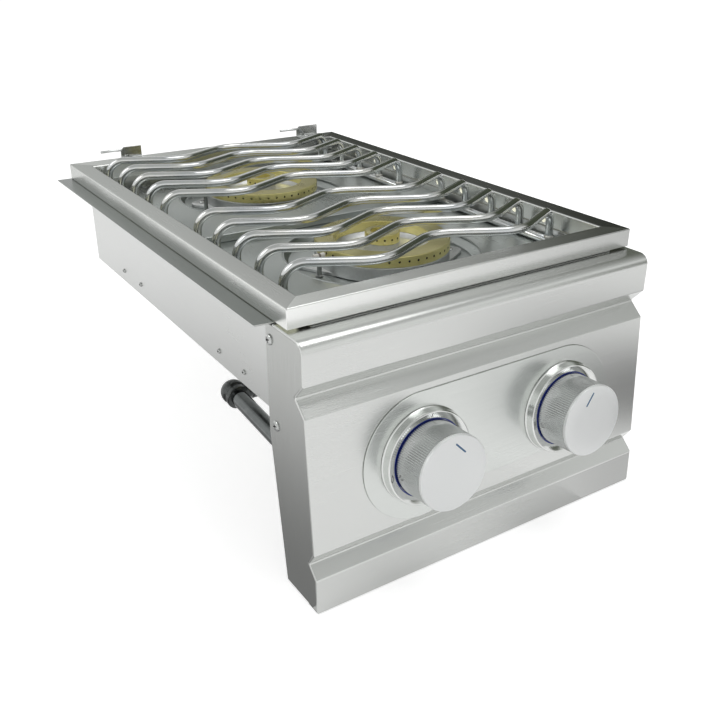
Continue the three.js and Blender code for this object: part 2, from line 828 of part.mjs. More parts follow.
function endPanel(name, side) {
  const back = boxFront + sheet;
  const footBack = frameFront + endPanelFootInset;
  const front = setOver(fasciaFace(), endPanelInset);
  const top = front[0][1];
  const outline = [
    ...front.slice(1, -1),
    [front[front.length - 1][0], -fasciaDrop + endPanelInset],
    [footBack, -fasciaDrop + endPanelInset],
    [back, -endPanelTaperDrop],
    [back, top],
  ];
  const plate = prismAlongX(outline, fasciaWidth / 2 - sheet, fasciaWidth / 2);
  const inner = boxWidth / 2 + touchGap;
  const fold = block(inner, fasciaWidth / 2, boxFront, back, -endPanelTaperDrop, top);
  const mesh = piece(name, join(plate, fold), brushedSteel);
  if (side < 0) mesh.geometry = mirrored(mesh.geometry);
}

// Pieces on the panel, in its own leaning frame: X to the right, Y up the panel, Z out of it
function controlPlate(panel) {
  const edgeTurn = THREE.MathUtils.radToDeg(Math.asin(plateLowerEdge / plateLobeRadius));
  const plate = shapeOf([
    ...arc(leftKnobX - plateLobesOutFromKnobs, 0, plateLobeRadius, 90, 360 - edgeTurn, arcSteps * 5),
    ...arc(rightKnobX + plateLobesOutFromKnobs, 0, plateLobeRadius, -edgeTurn, 90, arcSteps * 3),
  ]);
  for (const x of [leftKnobX, rightKnobX]) {
    plate.holes.push(new THREE.Path().absarc(x, 0, stemHoleRadius, 0, Math.PI * 2, true));
  }
  piece('control_plate', prismUp(plate, touchGap, plateLift, round / 2), brushedSteel, panel);
}

function bezel(name, station) {
  const back = plateLift + touchGap;
  const profile = [
    [bezelBore, back],
    [bezelRadius, back],
    [bezelRadius, back + sheet],
    [bezelFaceRadius, bezelHeight - bezelFaceDrop],
    [bezelFaceRadius - bezelFaceDrop, bezelHeight],
    [bezelBore + bezelFaceDrop, bezelHeight - bezelFaceDrop],
    [bezelBore, bezelHeight - bezelFaceDrop * 2],
  ];
  piece(name, turned(profile, finelyRound), polishedSteel, station);
}

function ledRing(name, station) {
  const back = plateLift + touchGap;
  const profile = [
    [ledInnerRadius, back],
    [ledOuterRadius, back],
    [ledOuterRadius, ledHeight],
    [ledInnerRadius, ledHeight],
  ];
  piece(name, turned(profile, finelyRound), blueLight, station);
}

function knob(name, station) {
  const innerFace = knobFront - knobFaceThickness;
  const hubBack = innerFace - knobHubLength;
  const bore = stemRadius + touchGap;
  const profile = [
    [0, innerFace],
    [bore, innerFace],
    [bore, hubBack],
    [knobHubRadius, hubBack],
    [knobHubRadius, innerFace],
    [knobBaseRadius - knobWall, innerFace],
    [knobBaseRadius - knobWall, knobBack],
    [knobBaseRadius, knobBack],
    [knobFaceRadius, knobFront - knobEdge],
    [knobFaceRadius - knobEdge, knobFront],
    [0, knobFront],
  ];
  piece(name, turned(profile, finelyRound), satinKnob, station);
}

function valveStem(name, station) {
  const hubBack = knobFront - knobFaceThickness - knobHubLength;
  const stemFront = knobFront - knobFaceThickness - touchGap;
  const collarFront = hubBack - touchGap;
  const profile = [
    [0, plugFront - stemIntoPlug],
    [stemRadius, plugFront - stemIntoPlug],
    [stemRadius, collarFront - collarThickness],
    [collarRadius, collarFront - collarThickness],
    [collarRadius, collarFront],
    [stemRadius, collarFront],
    [stemRadius, stemFront],
    [0, stemFront],
  ];
  piece(name, turned(profile, coarselyRound), polishedSteel, station);
}

function valvePlug(name, station) {
  const bore = stemRadius + touchGap;
  const profile = [
    [0, plugBack],
    [plugRadius, plugBack],
    [plugRadius, plugFront],
    [bore, plugFront],
    [bore, plugFront - plugSocketDepth],
    [0, plugFront - plugSocketDepth],
  ];
  piece(name, turned(profile, coarselyRound), brass, station);
}

function valveBody(name, station) {
  const half = valveBlockWidth / 2;
  const nose = cylinder(valveNoseRadius, valveBlockFront - overrun, valveNoseFront, round);
  const main = block(-half, half, -half, half, valveBack, valveBlockFront);
  const bossEnd = -manifoldDrop + pipeRadius + touchGap;
  const boss = cylinderAlongY(valveBossRadius, bossEnd, -half + overrun, coarselyRound)
    .translate(0, 0, manifoldBack);
  const bore = stemRadius + touchGap;
  const hollow = turned([
    [0, plugBack - touchGap],
    [plugRadius + touchGap, plugBack - touchGap],
    [plugRadius + touchGap, plugFront + touchGap],
    [bore, plugFront + touchGap],
    [bore, valveNoseFront + overrun],
    [0, valveNoseFront + overrun],
  ], coarselyRound);
  piece(name, cut(join(nose, main, boss), hollow), brass, station);
}

// Gas pipes and tubes that leave the panel
function manifoldAxis() {
  return new THREE.Vector3(0, -manifoldDrop, manifoldBack).applyMatrix4(onPanel().matrix);
}

function inletEnd() {
  return new THREE.Vector3(inletX, inletEndY, manifoldAxis().z + inletRise);
}

function gasManifold() {
  const axis = manifoldAxis();
  const right = rightKnobX + manifoldOverhang;
  const start = new THREE.Vector3(right, axis.y, axis.z);
  const corner = new THREE.Vector3(inletX, axis.y, axis.z);
  const pipe = bar(roundedRoute([start, corner, inletEnd()], [inletBendRadius]), pipeRadius, coarselyRound, pipeBore);
  const plug = cylinderAlongX(pipeRadius - sheet, right - sheet, right + sheet, coarselyRound);
  piece('gas_manifold', join(pipe, plug.translate(0, axis.y, axis.z)), polishedSteel);
}

function inletElbow() {
  const end = inletEnd();
  const corner = manifoldAxis().setX(inletX);
  const lean = new THREE.Quaternion()
    .setFromUnitVectors(new THREE.Vector3(0, 0, 1), end.clone().sub(corner).normalize());
  const turnAt = new THREE.Vector3(0, 0, elbowReach).applyQuaternion(lean);
  const nut = cylinder(elbowNutRadius, touchGap, elbowNutLength, hexSides);
  const run = cylinder(pipeRadius + sheet, elbowNutLength - touchGap, elbowReach, round);
  const ball = new THREE.SphereGeometry(elbowRadius, round, round / 2).translate(0, 0, elbowReach);
  const arm = cylinderAlongX(pipeRadius + sheet, 0, elbowArm, round);
  const mouth = cylinderAlongX(pipeBore, elbowReach, elbowArm + overrun, coarselyRound);
  const inlet = cut(arm, mouth).translate(0, turnAt.y, turnAt.z);
  const elbow = join(join(nut, run, ball).applyQuaternion(lean), inlet);
  piece('inlet_elbow', elbow.translate(end.x, end.y, end.z), darkFitting);
}

function gasTube({ name, y, tubeX }) {
  const outlet = new THREE.Vector3(tubeX, valveBlockWidth / 2, valveOutletBack).applyMatrix4(onPanel().matrix);
  const rise = touchGap + gasTubeRadius * Math.sin(panelLean);
  const corners = [new THREE.Vector3(tubeX, outlet.y, outlet.z + rise)];
  corners.push(new THREE.Vector3(tubeX, outlet.y, -gasTubeDrop));
  if (name === 'rear') corners.push(new THREE.Vector3(tubeX, rearTubeCrossY, -gasTubeDrop));
  const crossY = name === 'rear' ? rearTubeCrossY : outlet.y;
  corners.push(new THREE.Vector3(0, crossY, -gasTubeDrop));
  const end = injectorTip(y) - injectorNoseLength - injectorHexLength - touchGap;
  corners.push(new THREE.Vector3(0, end, -gasTubeDrop));
  const radii = corners.slice(2).map(() => gasTubeBend);
  piece(`gas_tube_${name}`, bar(roundedRoute(corners, radii), gasTubeRadius, barSides), castAlloy);
}

// Lid hinge brackets and their pins
function hingeBracket(name, x, width) {
  const y = frameBack - bracketInset;
  const foot = frameTop + touchGap;
  const half = width / 2;
  const upright = shapeOf([
    [-half, 0],
    [half, 0],
    [half, bracketHeight],
    [-half + bracketCorner, bracketHeight],
    [-half, bracketHeight - bracketCorner],
  ]);
  const wall = extrude(upright, bracketSheet).rotateX(Math.PI / 2).translate(x, y, foot);
  const base = block(x - half, x + half, y - bracketFoot, y, foot, foot + bracketSheet);
  piece(`hinge_bracket_${name}`, join(wall, base), brushedSteel);
  const pin = cylinderAlongX(pinRadius, x - half - pinReach, x - half - pinReach + pinLength, coarselyRound);
  const pinY = y + pinRadius + touchGap;
  piece(`hinge_pin_${name}`, pin.translate(0, pinY, foot + bracketHeight - pinBelowTop), polishedSteel);
}

// Everything in place
topFrame();
boxSide('box_left_side', -1);
boxSide('box_right_side', 1);
boxEnds();
boxFloor();
burnerTray();
trayBridge();
for (const burner of burners) {
  burnerSupport(burner);
  burnerBase(burner);
  outerRing(burner);
  innerRing(burner);
  igniter(burner);
  mixerTube(burner);
  injector(burner);
  gasTube(burner);
}
grate('front', frontGrateRightOfMiddle, frontGrateFirstLeg);
grate('rear', 0, rearGrateFirstLeg);
fascia();
endPanel('end_panel_left', -1);
endPanel('end_panel_right', 1);

const panel = onPanel();
group.add(panel);
controlPlate(panel);
for (const [sideName, x] of [['left', leftKnobX], ['right', rightKnobX]]) {
  const station = new THREE.Group();
  station.position.x = x;
  panel.add(station);
  bezel(`bezel_${sideName}`, station);
  ledRing(`led_ring_${sideName}`, station);
  knob(`knob_${sideName}`, station);
  valveStem(`valve_stem_${sideName}`, station);
  valvePlug(`valve_plug_${sideName}`, station);
  valveBody(`valve_body_${sideName}`, station);
}
gasManifold();
inletElbow();
hingeBracket('left', leftBracketX, leftBracketWidth);
hingeBracket('right', rightBracketX, rightBracketWidth);

export default group;
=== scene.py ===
# Built-in side burner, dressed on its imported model. Sizes in the sections are millimetres.
import math

import bmesh
import bpy
from mathutils import Matrix, Vector


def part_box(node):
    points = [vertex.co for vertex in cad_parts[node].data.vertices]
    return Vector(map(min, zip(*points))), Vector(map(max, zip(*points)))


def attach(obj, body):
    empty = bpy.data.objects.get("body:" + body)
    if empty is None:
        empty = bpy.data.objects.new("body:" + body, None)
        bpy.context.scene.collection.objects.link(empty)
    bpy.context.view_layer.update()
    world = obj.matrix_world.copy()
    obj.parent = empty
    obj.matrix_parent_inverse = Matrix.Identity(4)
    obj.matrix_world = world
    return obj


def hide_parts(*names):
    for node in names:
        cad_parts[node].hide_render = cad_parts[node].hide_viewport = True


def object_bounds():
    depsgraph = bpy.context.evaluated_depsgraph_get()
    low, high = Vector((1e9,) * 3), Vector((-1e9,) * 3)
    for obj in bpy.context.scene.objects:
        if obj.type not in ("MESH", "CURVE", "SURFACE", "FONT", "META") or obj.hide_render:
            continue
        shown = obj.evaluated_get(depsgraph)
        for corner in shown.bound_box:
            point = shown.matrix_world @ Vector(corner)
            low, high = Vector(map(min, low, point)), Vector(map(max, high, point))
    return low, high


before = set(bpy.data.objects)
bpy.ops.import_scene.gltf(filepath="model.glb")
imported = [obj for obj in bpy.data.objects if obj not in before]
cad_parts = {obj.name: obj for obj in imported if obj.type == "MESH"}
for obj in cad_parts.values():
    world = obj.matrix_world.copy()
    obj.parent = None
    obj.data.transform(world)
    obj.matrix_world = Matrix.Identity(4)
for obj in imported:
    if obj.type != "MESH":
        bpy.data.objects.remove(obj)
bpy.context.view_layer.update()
scene = bpy.context.scene
scene.view_settings.view_transform = "Standard"

# ---- The camera
# It stands above the unit's front left corner and looks down along it, as in the photograph.
# Its lens, place and angles come from the unit's straight edges there.
lens, sensor_width, camera_place = 43.51, 36, (-0.4613, -0.7918, 0.2633)
camera_turn, camera_dip, camera_roll = (math.radians(angle) for angle in (33.2, 25.85, 0.24))
camera_data = bpy.data.cameras.new("camera")
camera_data.sensor_width = sensor_width
camera_data.lens = lens
camera = bpy.data.objects.new("camera", camera_data)
scene.collection.objects.link(camera)
ahead = Vector((math.sin(camera_turn) * math.cos(camera_dip), math.cos(camera_turn) * math.cos(camera_dip),
                -math.sin(camera_dip)))
level_right = ahead.cross(Vector((0, 0, 1))).normalized()
level_up = level_right.cross(ahead)
camera_right = level_right * math.cos(camera_roll) + level_up * math.sin(camera_roll)
camera_up = level_up * math.cos(camera_roll) - level_right * math.sin(camera_roll)
camera.matrix_world = Matrix.Translation(camera_place) @ Matrix(
    (camera_right, camera_up, -ahead)).transposed().to_4x4()
scene.camera = camera

# ---- The top frame
# A rim folded from stainless sheet, mitred and welded at the corners, then brushed along each side.
# Nine round vents are punched through each side's inner lip, with a gap between the two grates.
# Through them shows a painted glow on the hidden steel under the rim.
frame_half_width, frame_front, frame_back = 184, -269, 269
frame_bottom, frame_top = 1.5, 19
sheet = 1.2


def feed(tree, node, given):
    """Sets a node's inputs to values, or links them to other nodes' outputs."""
    for socket, value in given.items():
        if isinstance(value, bpy.types.NodeSocket):
            tree.links.new(value, node.inputs[socket])
        else:
            node.inputs[socket].default_value = value


def add_node(tree, kind, given=None, **settings):
    """A new shader node. Its settings come first, because they change which inputs it has."""
    node = tree.nodes.new("ShaderNode" + kind)
    for name, value in settings.items():
        setattr(node, name, value)
    feed(tree, node, given or {})
    return node


def arithmetic(tree, operation, *values, clamp=False):
    """One step of arithmetic with values or other nodes' outputs."""
    return add_node(tree, "Math", dict(enumerate(values)), operation=operation, use_clamp=clamp).outputs[0]


def run_over(tree, measure, start, end, low, high, ease="LINEAR"):
    """A run from low to high as the measure goes from start to end."""
    given = {"Value": measure, "From Min": start, "From Max": end, "To Min": low, "To Max": high}
    return add_node(tree, "MapRange", given, interpolation_type=ease).outputs["Result"]


def mixed(tree, share, a, b, kind="FLOAT", blend="MIX"):
    """A mix of two numbers, vectors or colours."""
    given = {"Factor": share, "A": a, "B": b}
    return add_node(tree, "Mix", given, data_type=kind, blend_type=blend).outputs["Result"]


def parts(tree, vector):
    """The X, Y and Z of a place or a direction."""
    return add_node(tree, "SeparateXYZ", {0: vector}).outputs


def grain_group():
    """Fine lines and soft smudges that brushed or rolled metal shows."""
    group = bpy.data.node_groups.new("metal grain", "ShaderNodeTree")
    for name, kind, value in (("Stretch", "NodeSocketVector", (40, 1500, 1500)),
                              ("Smudge Scale", "NodeSocketFloat", 14),
                              ("Smudge Share", "NodeSocketFloat", 0.5)):
        group.interface.new_socket(name, in_out="INPUT", socket_type=kind).default_value = value
    for name in ("Tone", "Height"):
        group.interface.new_socket(name, in_out="OUTPUT", socket_type="NodeSocketFloat")
    given, result = group.nodes.new("NodeGroupInput").outputs, group.nodes.new("NodeGroupOutput")
    where = add_node(group, "TexCoord").outputs["Object"]
    stretched = add_node(group, "VectorMath", {0: where, 1: given["Stretch"]}, operation="MULTIPLY").outputs[0]
    lines = add_node(group, "TexNoise", {"Vector": stretched, "Scale": 1, "Detail": 3, "Roughness": 0.62})
    smudges = add_node(group, "TexNoise", {"Vector": where, "Scale": given["Smudge Scale"], "Detail": 2})
    tone = mixed(group, given["Smudge Share"], lines.outputs["Fac"], smudges.outputs["Fac"])
    feed(group, result, {"Tone": tone, "Height": lines.outputs["Fac"]})
    return group


metal_grain = grain_group()


def new_finish(name):
    """An empty finish with its shader."""
    finish = bpy.data.materials.new(name)
    finish.use_nodes = True
    return finish


def dress(finish, given):
    """Sets or links the sockets of a finish's shader."""
    feed(finish.node_tree, finish.node_tree.nodes["Principled BSDF"], given)


grain_low, grain_high, grain_depth = 0.32, 0.68, 0.0002


def metal(name, dark, light, rough, stretch, bump, smudge_scale=14, smudge_share=0.5):
    """A bare metal finish: its colour runs from dark to light and its roughness over the two values in rough."""
    finish = new_finish(name)
    tree = finish.node_tree
    grain = add_node(tree, "Group", name="grain", node_tree=metal_grain)
    feed(tree, grain, {"Stretch": stretch, "Smudge Scale": smudge_scale, "Smudge Share": smudge_share})
    spread = run_over(tree, grain.outputs["Tone"], grain_low, grain_high, 0, 1)
    dress(finish, {"Metallic": 1, "Base Color": mixed(tree, spread, (*dark, 1), (*light, 1), "RGBA"),
                   "Roughness": run_over(tree, spread, 0, 1, *rough)})
    if bump:
        relief = add_node(tree, "Bump", {"Strength": bump, "Distance": grain_depth, "Height": grain.outputs["Height"]})
        dress(finish, {"Normal": relief.outputs["Normal"]})
    return finish


def base_colour(finish):
    """The output that a finish's colour comes from."""
    return finish.node_tree.nodes["Principled BSDF"].inputs["Base Color"].links[0].from_socket


def paint_shade_into(finish, share):
    """Paints shade into a finish, taking its colour down to a share that other nodes give."""
    dress(finish, {"Base Color": mixed(finish.node_tree, 1, base_colour(finish), share, "RGBA", "MULTIPLY")})


def settled(made):
    """The object with its modifiers worked into its mesh, its flat faces shading flat up to their bends."""
    flat = made.modifiers.new("flat faces", "WEIGHTED_NORMAL")
    flat.weight = 100
    flat.keep_sharp = True
    shaped = bpy.data.meshes.new_from_object(made.evaluated_get(bpy.context.evaluated_depsgraph_get()))
    made.modifiers.clear()
    made.data = shaped
    return made


def soften(made, width, turn=40):
    """Breaks the sharp edges, as handling and polishing do."""
    edge = made.modifiers.new("edge", "BEVEL")
    edge.width = width / 1000
    edge.segments = 2
    edge.limit_method = "ANGLE"
    edge.angle_limit = math.radians(turn)
    return settled(made)


def drill(made, *cutters):
    """Cuts holes with solids that are then thrown away."""
    for cutter in cutters:
        hole = made.modifiers.new("hole", "BOOLEAN")
        hole.object = cutter
        hole.solver = "EXACT"
        hole.material_mode = "TRANSFER"
    settled(made)
    for cutter in cutters:
        bpy.data.objects.remove(cutter)
    return made


def solid(name, maker, finish=None, smooth=35):
    """An object in the scene from a bmesh in millimetres."""
    bmesh.ops.scale(maker, vec=(0.001, 0.001, 0.001), verts=maker.verts)
    bmesh.ops.recalc_face_normals(maker, faces=maker.faces)
    mesh = bpy.data.meshes.new(name)
    maker.to_mesh(mesh)
    maker.free()
    mesh.shade_smooth()
    mesh.set_sharp_from_angle(angle=math.radians(smooth))
    if finish:
        mesh.materials.append(finish)
    made = bpy.data.objects.new(name, mesh)
    scene.collection.objects.link(made)
    return made


def refinish(made, finish, chosen):
    """Gives the chosen faces of an object a second finish."""
    made.data.materials.append(finish)
    for face in made.data.polygons:
        if chosen(face):
            face.material_index = 1


def fit(made, slot, *nodes, body="burner_unit"):
    """Puts a finished piece on its body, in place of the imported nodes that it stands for."""
    if nodes:
        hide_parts(*nodes)
    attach(made, body)
    return made


def arc(across, up, radius, start, end, steps=8):
    """Points on an arc in a plane, by angles in degrees."""
    angles = [math.radians(start + (end - start) * i / steps) for i in range(steps + 1)]
    return [(across + radius * math.cos(angle), up + radius * math.sin(angle)) for angle in angles]


def circle(radius, steps, across=0, up=0):
    """Points round a circle in a plane."""
    angles = [2 * math.pi * i / steps for i in range(steps)]
    return [(across + radius * math.cos(angle), up + radius * math.sin(angle)) for angle in angles]


def bridge(maker, rings, closed=False):
    """Faces between rings of points, and over the two ends unless the rings close on themselves."""
    rows = [[maker.verts.new(point) for point in ring] for ring in rings]
    for row, after in zip(rows, rows[1:] + (rows[:1] if closed else [])):
        for i in range(len(row)):
            j = (i + 1) % len(row)
            maker.faces.new((row[i], row[j], after[j], after[i]))
    if not closed:
        maker.faces.new(rows[0][::-1])
        maker.faces.new(rows[-1])
    return maker


def cylinder(radius, start, end, steps=24):
    """A plain round bar between two points, for drilling or to build on."""
    start, end = Vector(start), Vector(end)
    turn = (end - start).to_track_quat("Z", "Y").to_matrix()
    return bridge(bmesh.new(), [[point + turn @ Vector((x, y, 0)) for x, y in circle(radius, steps)]
                                for point in (start, end)])


def add_to(whole, maker):
    """Puts the shape in one bmesh into another."""
    mesh = bpy.data.meshes.new("shape")
    maker.to_mesh(mesh)
    maker.free()
    whole.from_mesh(mesh)
    bpy.data.meshes.remove(mesh)


brushed_across, brushed_back = (30, 1500, 1500), (1500, 30, 1500)
frame_steel = metal("brushed frame steel", (0.90, 0.91, 0.89), (0.95, 0.96, 0.94), (0.22, 0.28), brushed_across, 0.03)
frame_tree = frame_steel.node_tree
frame_where = add_node(frame_tree, "TexCoord").outputs
rail_x, rail_y, _ = parts(frame_tree, frame_where["Object"])
facing_x, _, facing_up = parts(frame_tree, frame_where["Normal"])
past_mitre = arithmetic(frame_tree, "SUBTRACT", arithmetic(frame_tree, "ABSOLUTE", rail_x),
                        arithmetic(frame_tree, "ABSOLUTE", rail_y))
on_side_rail = arithmetic(frame_tree, "GREATER_THAN", past_mitre, (frame_half_width - frame_back) / 1000)
feed(frame_tree, frame_tree.nodes["grain"],
     {"Stretch": mixed(frame_tree, on_side_rail, brushed_across, brushed_back, "VECTOR")})
# Painted shade and painted light in the rim's colour: darker from left to right and darker again on upward faces, the
# side rails most, while faces that look left keep painted light. The grey specular tint dims its reflections as
# painted shade too.
left_to_right = (-frame_half_width / 1000, frame_half_width / 1000)
front_top_painted_shade, side_top_painted_shades, painted_shade_left_to_right = 0.8, (0.6, 0.4), (1, 0.56)
painted_top_shade = mixed(frame_tree, on_side_rail, front_top_painted_shade,
                  run_over(frame_tree, rail_x, *left_to_right, *side_top_painted_shades))
painted_rail_shade = arithmetic(frame_tree, "MULTIPLY", run_over(frame_tree, facing_up, 0, 1, 1, painted_top_shade),
                       run_over(frame_tree, rail_x, *left_to_right, *painted_shade_left_to_right))
painted_light_facing_left = arithmetic(frame_tree, "MULTIPLY", facing_x, -1)
paint_shade_into(frame_steel, arithmetic(frame_tree, "MAXIMUM", painted_rail_shade, painted_light_facing_left, clamp=True))
dress(frame_steel, {"Specular Tint": (0.6, 0.61, 0.6, 1)})

side_band, front_band, back_band, rolled_edge = 20, 20, 27, 1.6
roll_centre = (rolled_edge, frame_top - rolled_edge, rolled_edge)
rim_section = [(0, 0, frame_bottom)]
rim_section += [(0, out, up) for out, up in arc(*roll_centre, 180, 90)]
rim_section += [(1, -out, up) for out, up in arc(*roll_centre, 90, 180)]
rim_section += [(1, 0, frame_bottom), (1, -sheet, frame_bottom), (1, -sheet, frame_top - sheet),
                (0, sheet, frame_top - sheet), (0, sheet, frame_bottom)]
rim_corners = []
for band, inset, up in rim_section:
    half = frame_half_width - band * side_band - inset
    near = frame_front + band * front_band + inset
    far = frame_back - band * back_band - inset
    rim_corners.append([(-half, near, up), (half, near, up), (half, far, up), (-half, far, up)])
top_frame = soften(solid("top_frame_rim", bridge(bmesh.new(), rim_corners, closed=True), frame_steel), 0.5, turn=50)
lip, vent_height, vent_radius, first_vent, vent_pitch, punch_half = 164, 8.5, 4.6, -174.4, 43.5, 3
vents = bmesh.new()
for i in (0, 1, 2, 3, 4, 6, 7, 8, 9):
    y = first_vent + i * vent_pitch
    for x in (-lip, lip):
        add_to(vents, cylinder(vent_radius, (x - punch_half, y, vent_height), (x + punch_half, y, vent_height)))
drill(top_frame, solid("vent_punches", vents))

# Painted shade and painted light: a very dark steel for the shade under the rim, with a cream painted glow on the
# hidden faces inside the rim's hollow, along the vents, standing in for light coming up from below.
painted_shade_glow_steel = metal("steel in painted shade with painted glow", (0.18, 0.19, 0.185), (0.22, 0.235, 0.225), (0.26, 0.32), (900, 30, 900), 0.02,
                     smudge_scale=5, smudge_share=0.7)
flange_tree = painted_shade_glow_steel.node_tree
flange_x, flange_y, _ = parts(flange_tree, add_node(flange_tree, "TexCoord").outputs["Object"])
rim_hollow, rim_hollow_half, vents_reach = 0.1765, 0.0066, 0.235
under_rim = arithmetic(flange_tree, "COMPARE", arithmetic(flange_tree, "ABSOLUTE", flange_x),
                       rim_hollow, rim_hollow_half)
along_vents = arithmetic(flange_tree, "COMPARE", flange_y, 0, vents_reach)
painted_daylight_glow = mixed(flange_tree, arithmetic(flange_tree, "MULTIPLY", under_rim, along_vents),
                 (0, 0, 0, 1), (0.66, 0.65, 0.52, 1), "RGBA")
dress(painted_shade_glow_steel, {"Emission Color": painted_daylight_glow, "Emission Strength": 1})
refinish(top_frame, painted_shade_glow_steel, lambda face: face.normal.x * face.center.x < 0
         and abs(abs(face.center.x) - (frame_half_width - sheet) / 1000) < 0.0002)
fit(top_frame, "frame_steel", "top_frame")

# ---- The firebox
# Side walls with flanges that lie on the counter, a front wall with a shelf, a rear wall and a floor,
# all cut from mill-finish sheet and held by small screws near the lower edge.
box_steel = metal("mill-finish box steel", (0.67, 0.68, 0.665), (0.71, 0.72, 0.71), (0.26, 0.32), (30, 30, 500), 0.02,
                  smudge_scale=5, smudge_share=0.7)


def softened_copy(packed, finish, width, slot):
    """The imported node's own shape with its edges broken, in place of the node."""
    maker = bmesh.new()
    maker.from_mesh(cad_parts[packed].data)
    bmesh.ops.remove_doubles(maker, verts=maker.verts, dist=1e-6)
    bmesh.ops.dissolve_limit(maker, angle_limit=math.radians(1), verts=maker.verts, edges=maker.edges)
    bmesh.ops.scale(maker, vec=(1000, 1000, 1000), verts=maker.verts)
    return fit(soften(solid(packed + "_sheet", maker, finish), width), slot, packed)


def finish_packed(finish, *kept):
    """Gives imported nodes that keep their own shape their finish."""
    for packed in kept:
        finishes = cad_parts[packed].data.materials
        finishes.clear()
        finishes.append(finish)


flange_level = -0.004
for packed in ("box_left_side", "box_right_side", "box_front_wall", "box_rear_wall"):
    wall = softened_copy(packed, box_steel, 0.35, "box_steel")
    if "side" in packed:
        # The flange tops take the darker steel with painted shade.
        refinish(wall, painted_shade_glow_steel, lambda face: face.normal.z > 0.9 and face.center.z > flange_level)
finish_packed(box_steel, "box_floor", "burner_support_front", "burner_support_rear")


def turned(profile, steps=96, closed=True):
    """A shape spun on a lathe about Z, from its half section as radius and height."""
    maker = bmesh.new()
    rows = []
    for radius, height in profile:
        points = circle(radius, steps) if radius >= 0.001 else [(0, 0)]
        rows.append([maker.verts.new((x, y, height)) for x, y in points])
    for row, after in zip(rows, rows[1:] + (rows[:1] if closed else [])):
        for i in range(steps):
            j = (i + 1) % steps
            corners = [row[i % len(row)], row[j % len(row)], after[j % len(after)], after[i % len(after)]]
            corners = [corner for k, corner in enumerate(corners) if corner not in corners[:k]]
            if len(corners) > 2:
                maker.faces.new(corners)
    return maker


def moved(made, placing):
    """The object with its mesh moved to its place."""
    made.data.transform(placing)
    return made


def screw(name, place, out, slot, radius):
    """A pan head with a cross recess in painted shade, seated at place and facing out."""
    domed = [(0, 0), (radius, 0), (radius, 0.7), (radius * 0.86, 1.5), (radius * 0.5, 2.0), (0, 2.1)]
    head = solid(name, turned(domed, 32), screw_steel)
    recess_share, recess_half, recess_floor, recess_top = 0.55, 0.45, 0.8, 3.0
    for turn in (20, 110):
        along = Vector((math.cos(math.radians(turn)), math.sin(math.radians(turn)), 0)) * radius * recess_share
        across = Vector((-along.y, along.x, 0)).normalized() * recess_half
        corners = [along + across, -along + across, -along - across, along - across]
        cross = [[corner + Vector((0, 0, up)) for corner in corners] for up in (recess_floor, recess_top)]
        # The cutter carries painted shade onto the recess walls.
        drill(head, solid("recess", bridge(bmesh.new(), cross), recess_painted_shade))
    facing = Vector(out).to_track_quat("Z", "Y").to_matrix().to_4x4()
    return fit(moved(head, Matrix.Translation(Vector(place) / 1000) @ facing), slot)


screw_steel = metal("screw steel", (0.44, 0.45, 0.44), (0.60, 0.61, 0.60), (0.12, 0.20), (200, 200, 200), 0.05)
# Near-black painted shade for the recess walls of the screws.
recess_painted_shade = metal("painted shade in the recess", (0.03, 0.03, 0.03), (0.08, 0.08, 0.08), (0.4, 0.6), (300, 300, 300), 0)
both_sides = ((-1, "left"), (1, "right"))
box_wall, screw_height = 163.5, -90
for side, side_name in both_sides:
    for i, y in enumerate((170, 116, -93, -146)):
        screw(f"box_screw_{side_name}_{i + 1}", (side * box_wall, y, screw_height), (side, 0, 0), "box_steel",
              radius=2.6)

# ---- The burner tray
# One pressed sheet with a round well for each burner, its front and back edges folded down,
# and a channel laid across it between the two grates.
tray_steel = metal("tray steel", (0.38, 0.405, 0.395), (0.46, 0.485, 0.475), (0.24, 0.36), (500, 40, 500), 0.08,
                   smudge_scale=7, smudge_share=0.7)
tray_half, tray_front, tray_back, tray_top, tray_fold = 162, -236.5, 269.5, -12, 12
well_rim, well_floor_radius, well_hole, well_floor, well_steps = 96.5, 90.5, 43, -20, 96
burner_places = {"front": -125, "rear": 129}


def fill(maker, loops, height):
    """A level face inside the first loop, with a hole at each of the others."""
    edges = []
    for loop in loops:
        corners = [maker.verts.new((x, y, height)) for x, y in loop]
        edges += [maker.edges.new(pair) for pair in zip(corners, corners[1:] + corners[:1])]
    bmesh.ops.triangle_fill(maker, use_beauty=True, edges=edges, normal=(0, 0, 1))


tray = bmesh.new()
outline = [(-tray_half, tray_front), (tray_half, tray_front), (tray_half, tray_back), (-tray_half, tray_back)]
fill(tray, [outline] + [circle(well_rim, well_steps, 0, y) for y in burner_places.values()], tray_top)
for y in (tray_front, tray_back):
    tray.faces.new([tray.verts.new(point) for point in (
        (-tray_half, y, tray_top), (tray_half, y, tray_top),
        (tray_half, y, tray_top - tray_fold), (-tray_half, y, tray_top - tray_fold))])
well_line = [(well_rim, tray_top)]
well_line += arc(well_rim - 1.6, tray_top - 2.4, 2.4, 78, 20, 5)
well_line += arc(well_floor_radius - 0.4, well_floor + 2.6, 2.6, -20, -90, 5)
well_line += [(70, well_floor), (well_hole, well_floor)]
for y in burner_places.values():
    well = turned(well_line, well_steps, closed=False)
    bmesh.ops.translate(well, vec=(0, y, 0), verts=well.verts)
    add_to(tray, well)
bmesh.ops.remove_doubles(tray, verts=tray.verts, dist=0.01)
burner_tray = solid("burner_tray_pressing", tray, tray_steel, smooth=45)
thick = burner_tray.modifiers.new("sheet", "SOLIDIFY")
thick.thickness = sheet / 1000
thick.offset = -1
fit(settled(burner_tray), "tray_steel", "burner_tray")
softened_copy("tray_bridge", tray_steel, 0.6, "tray_steel")

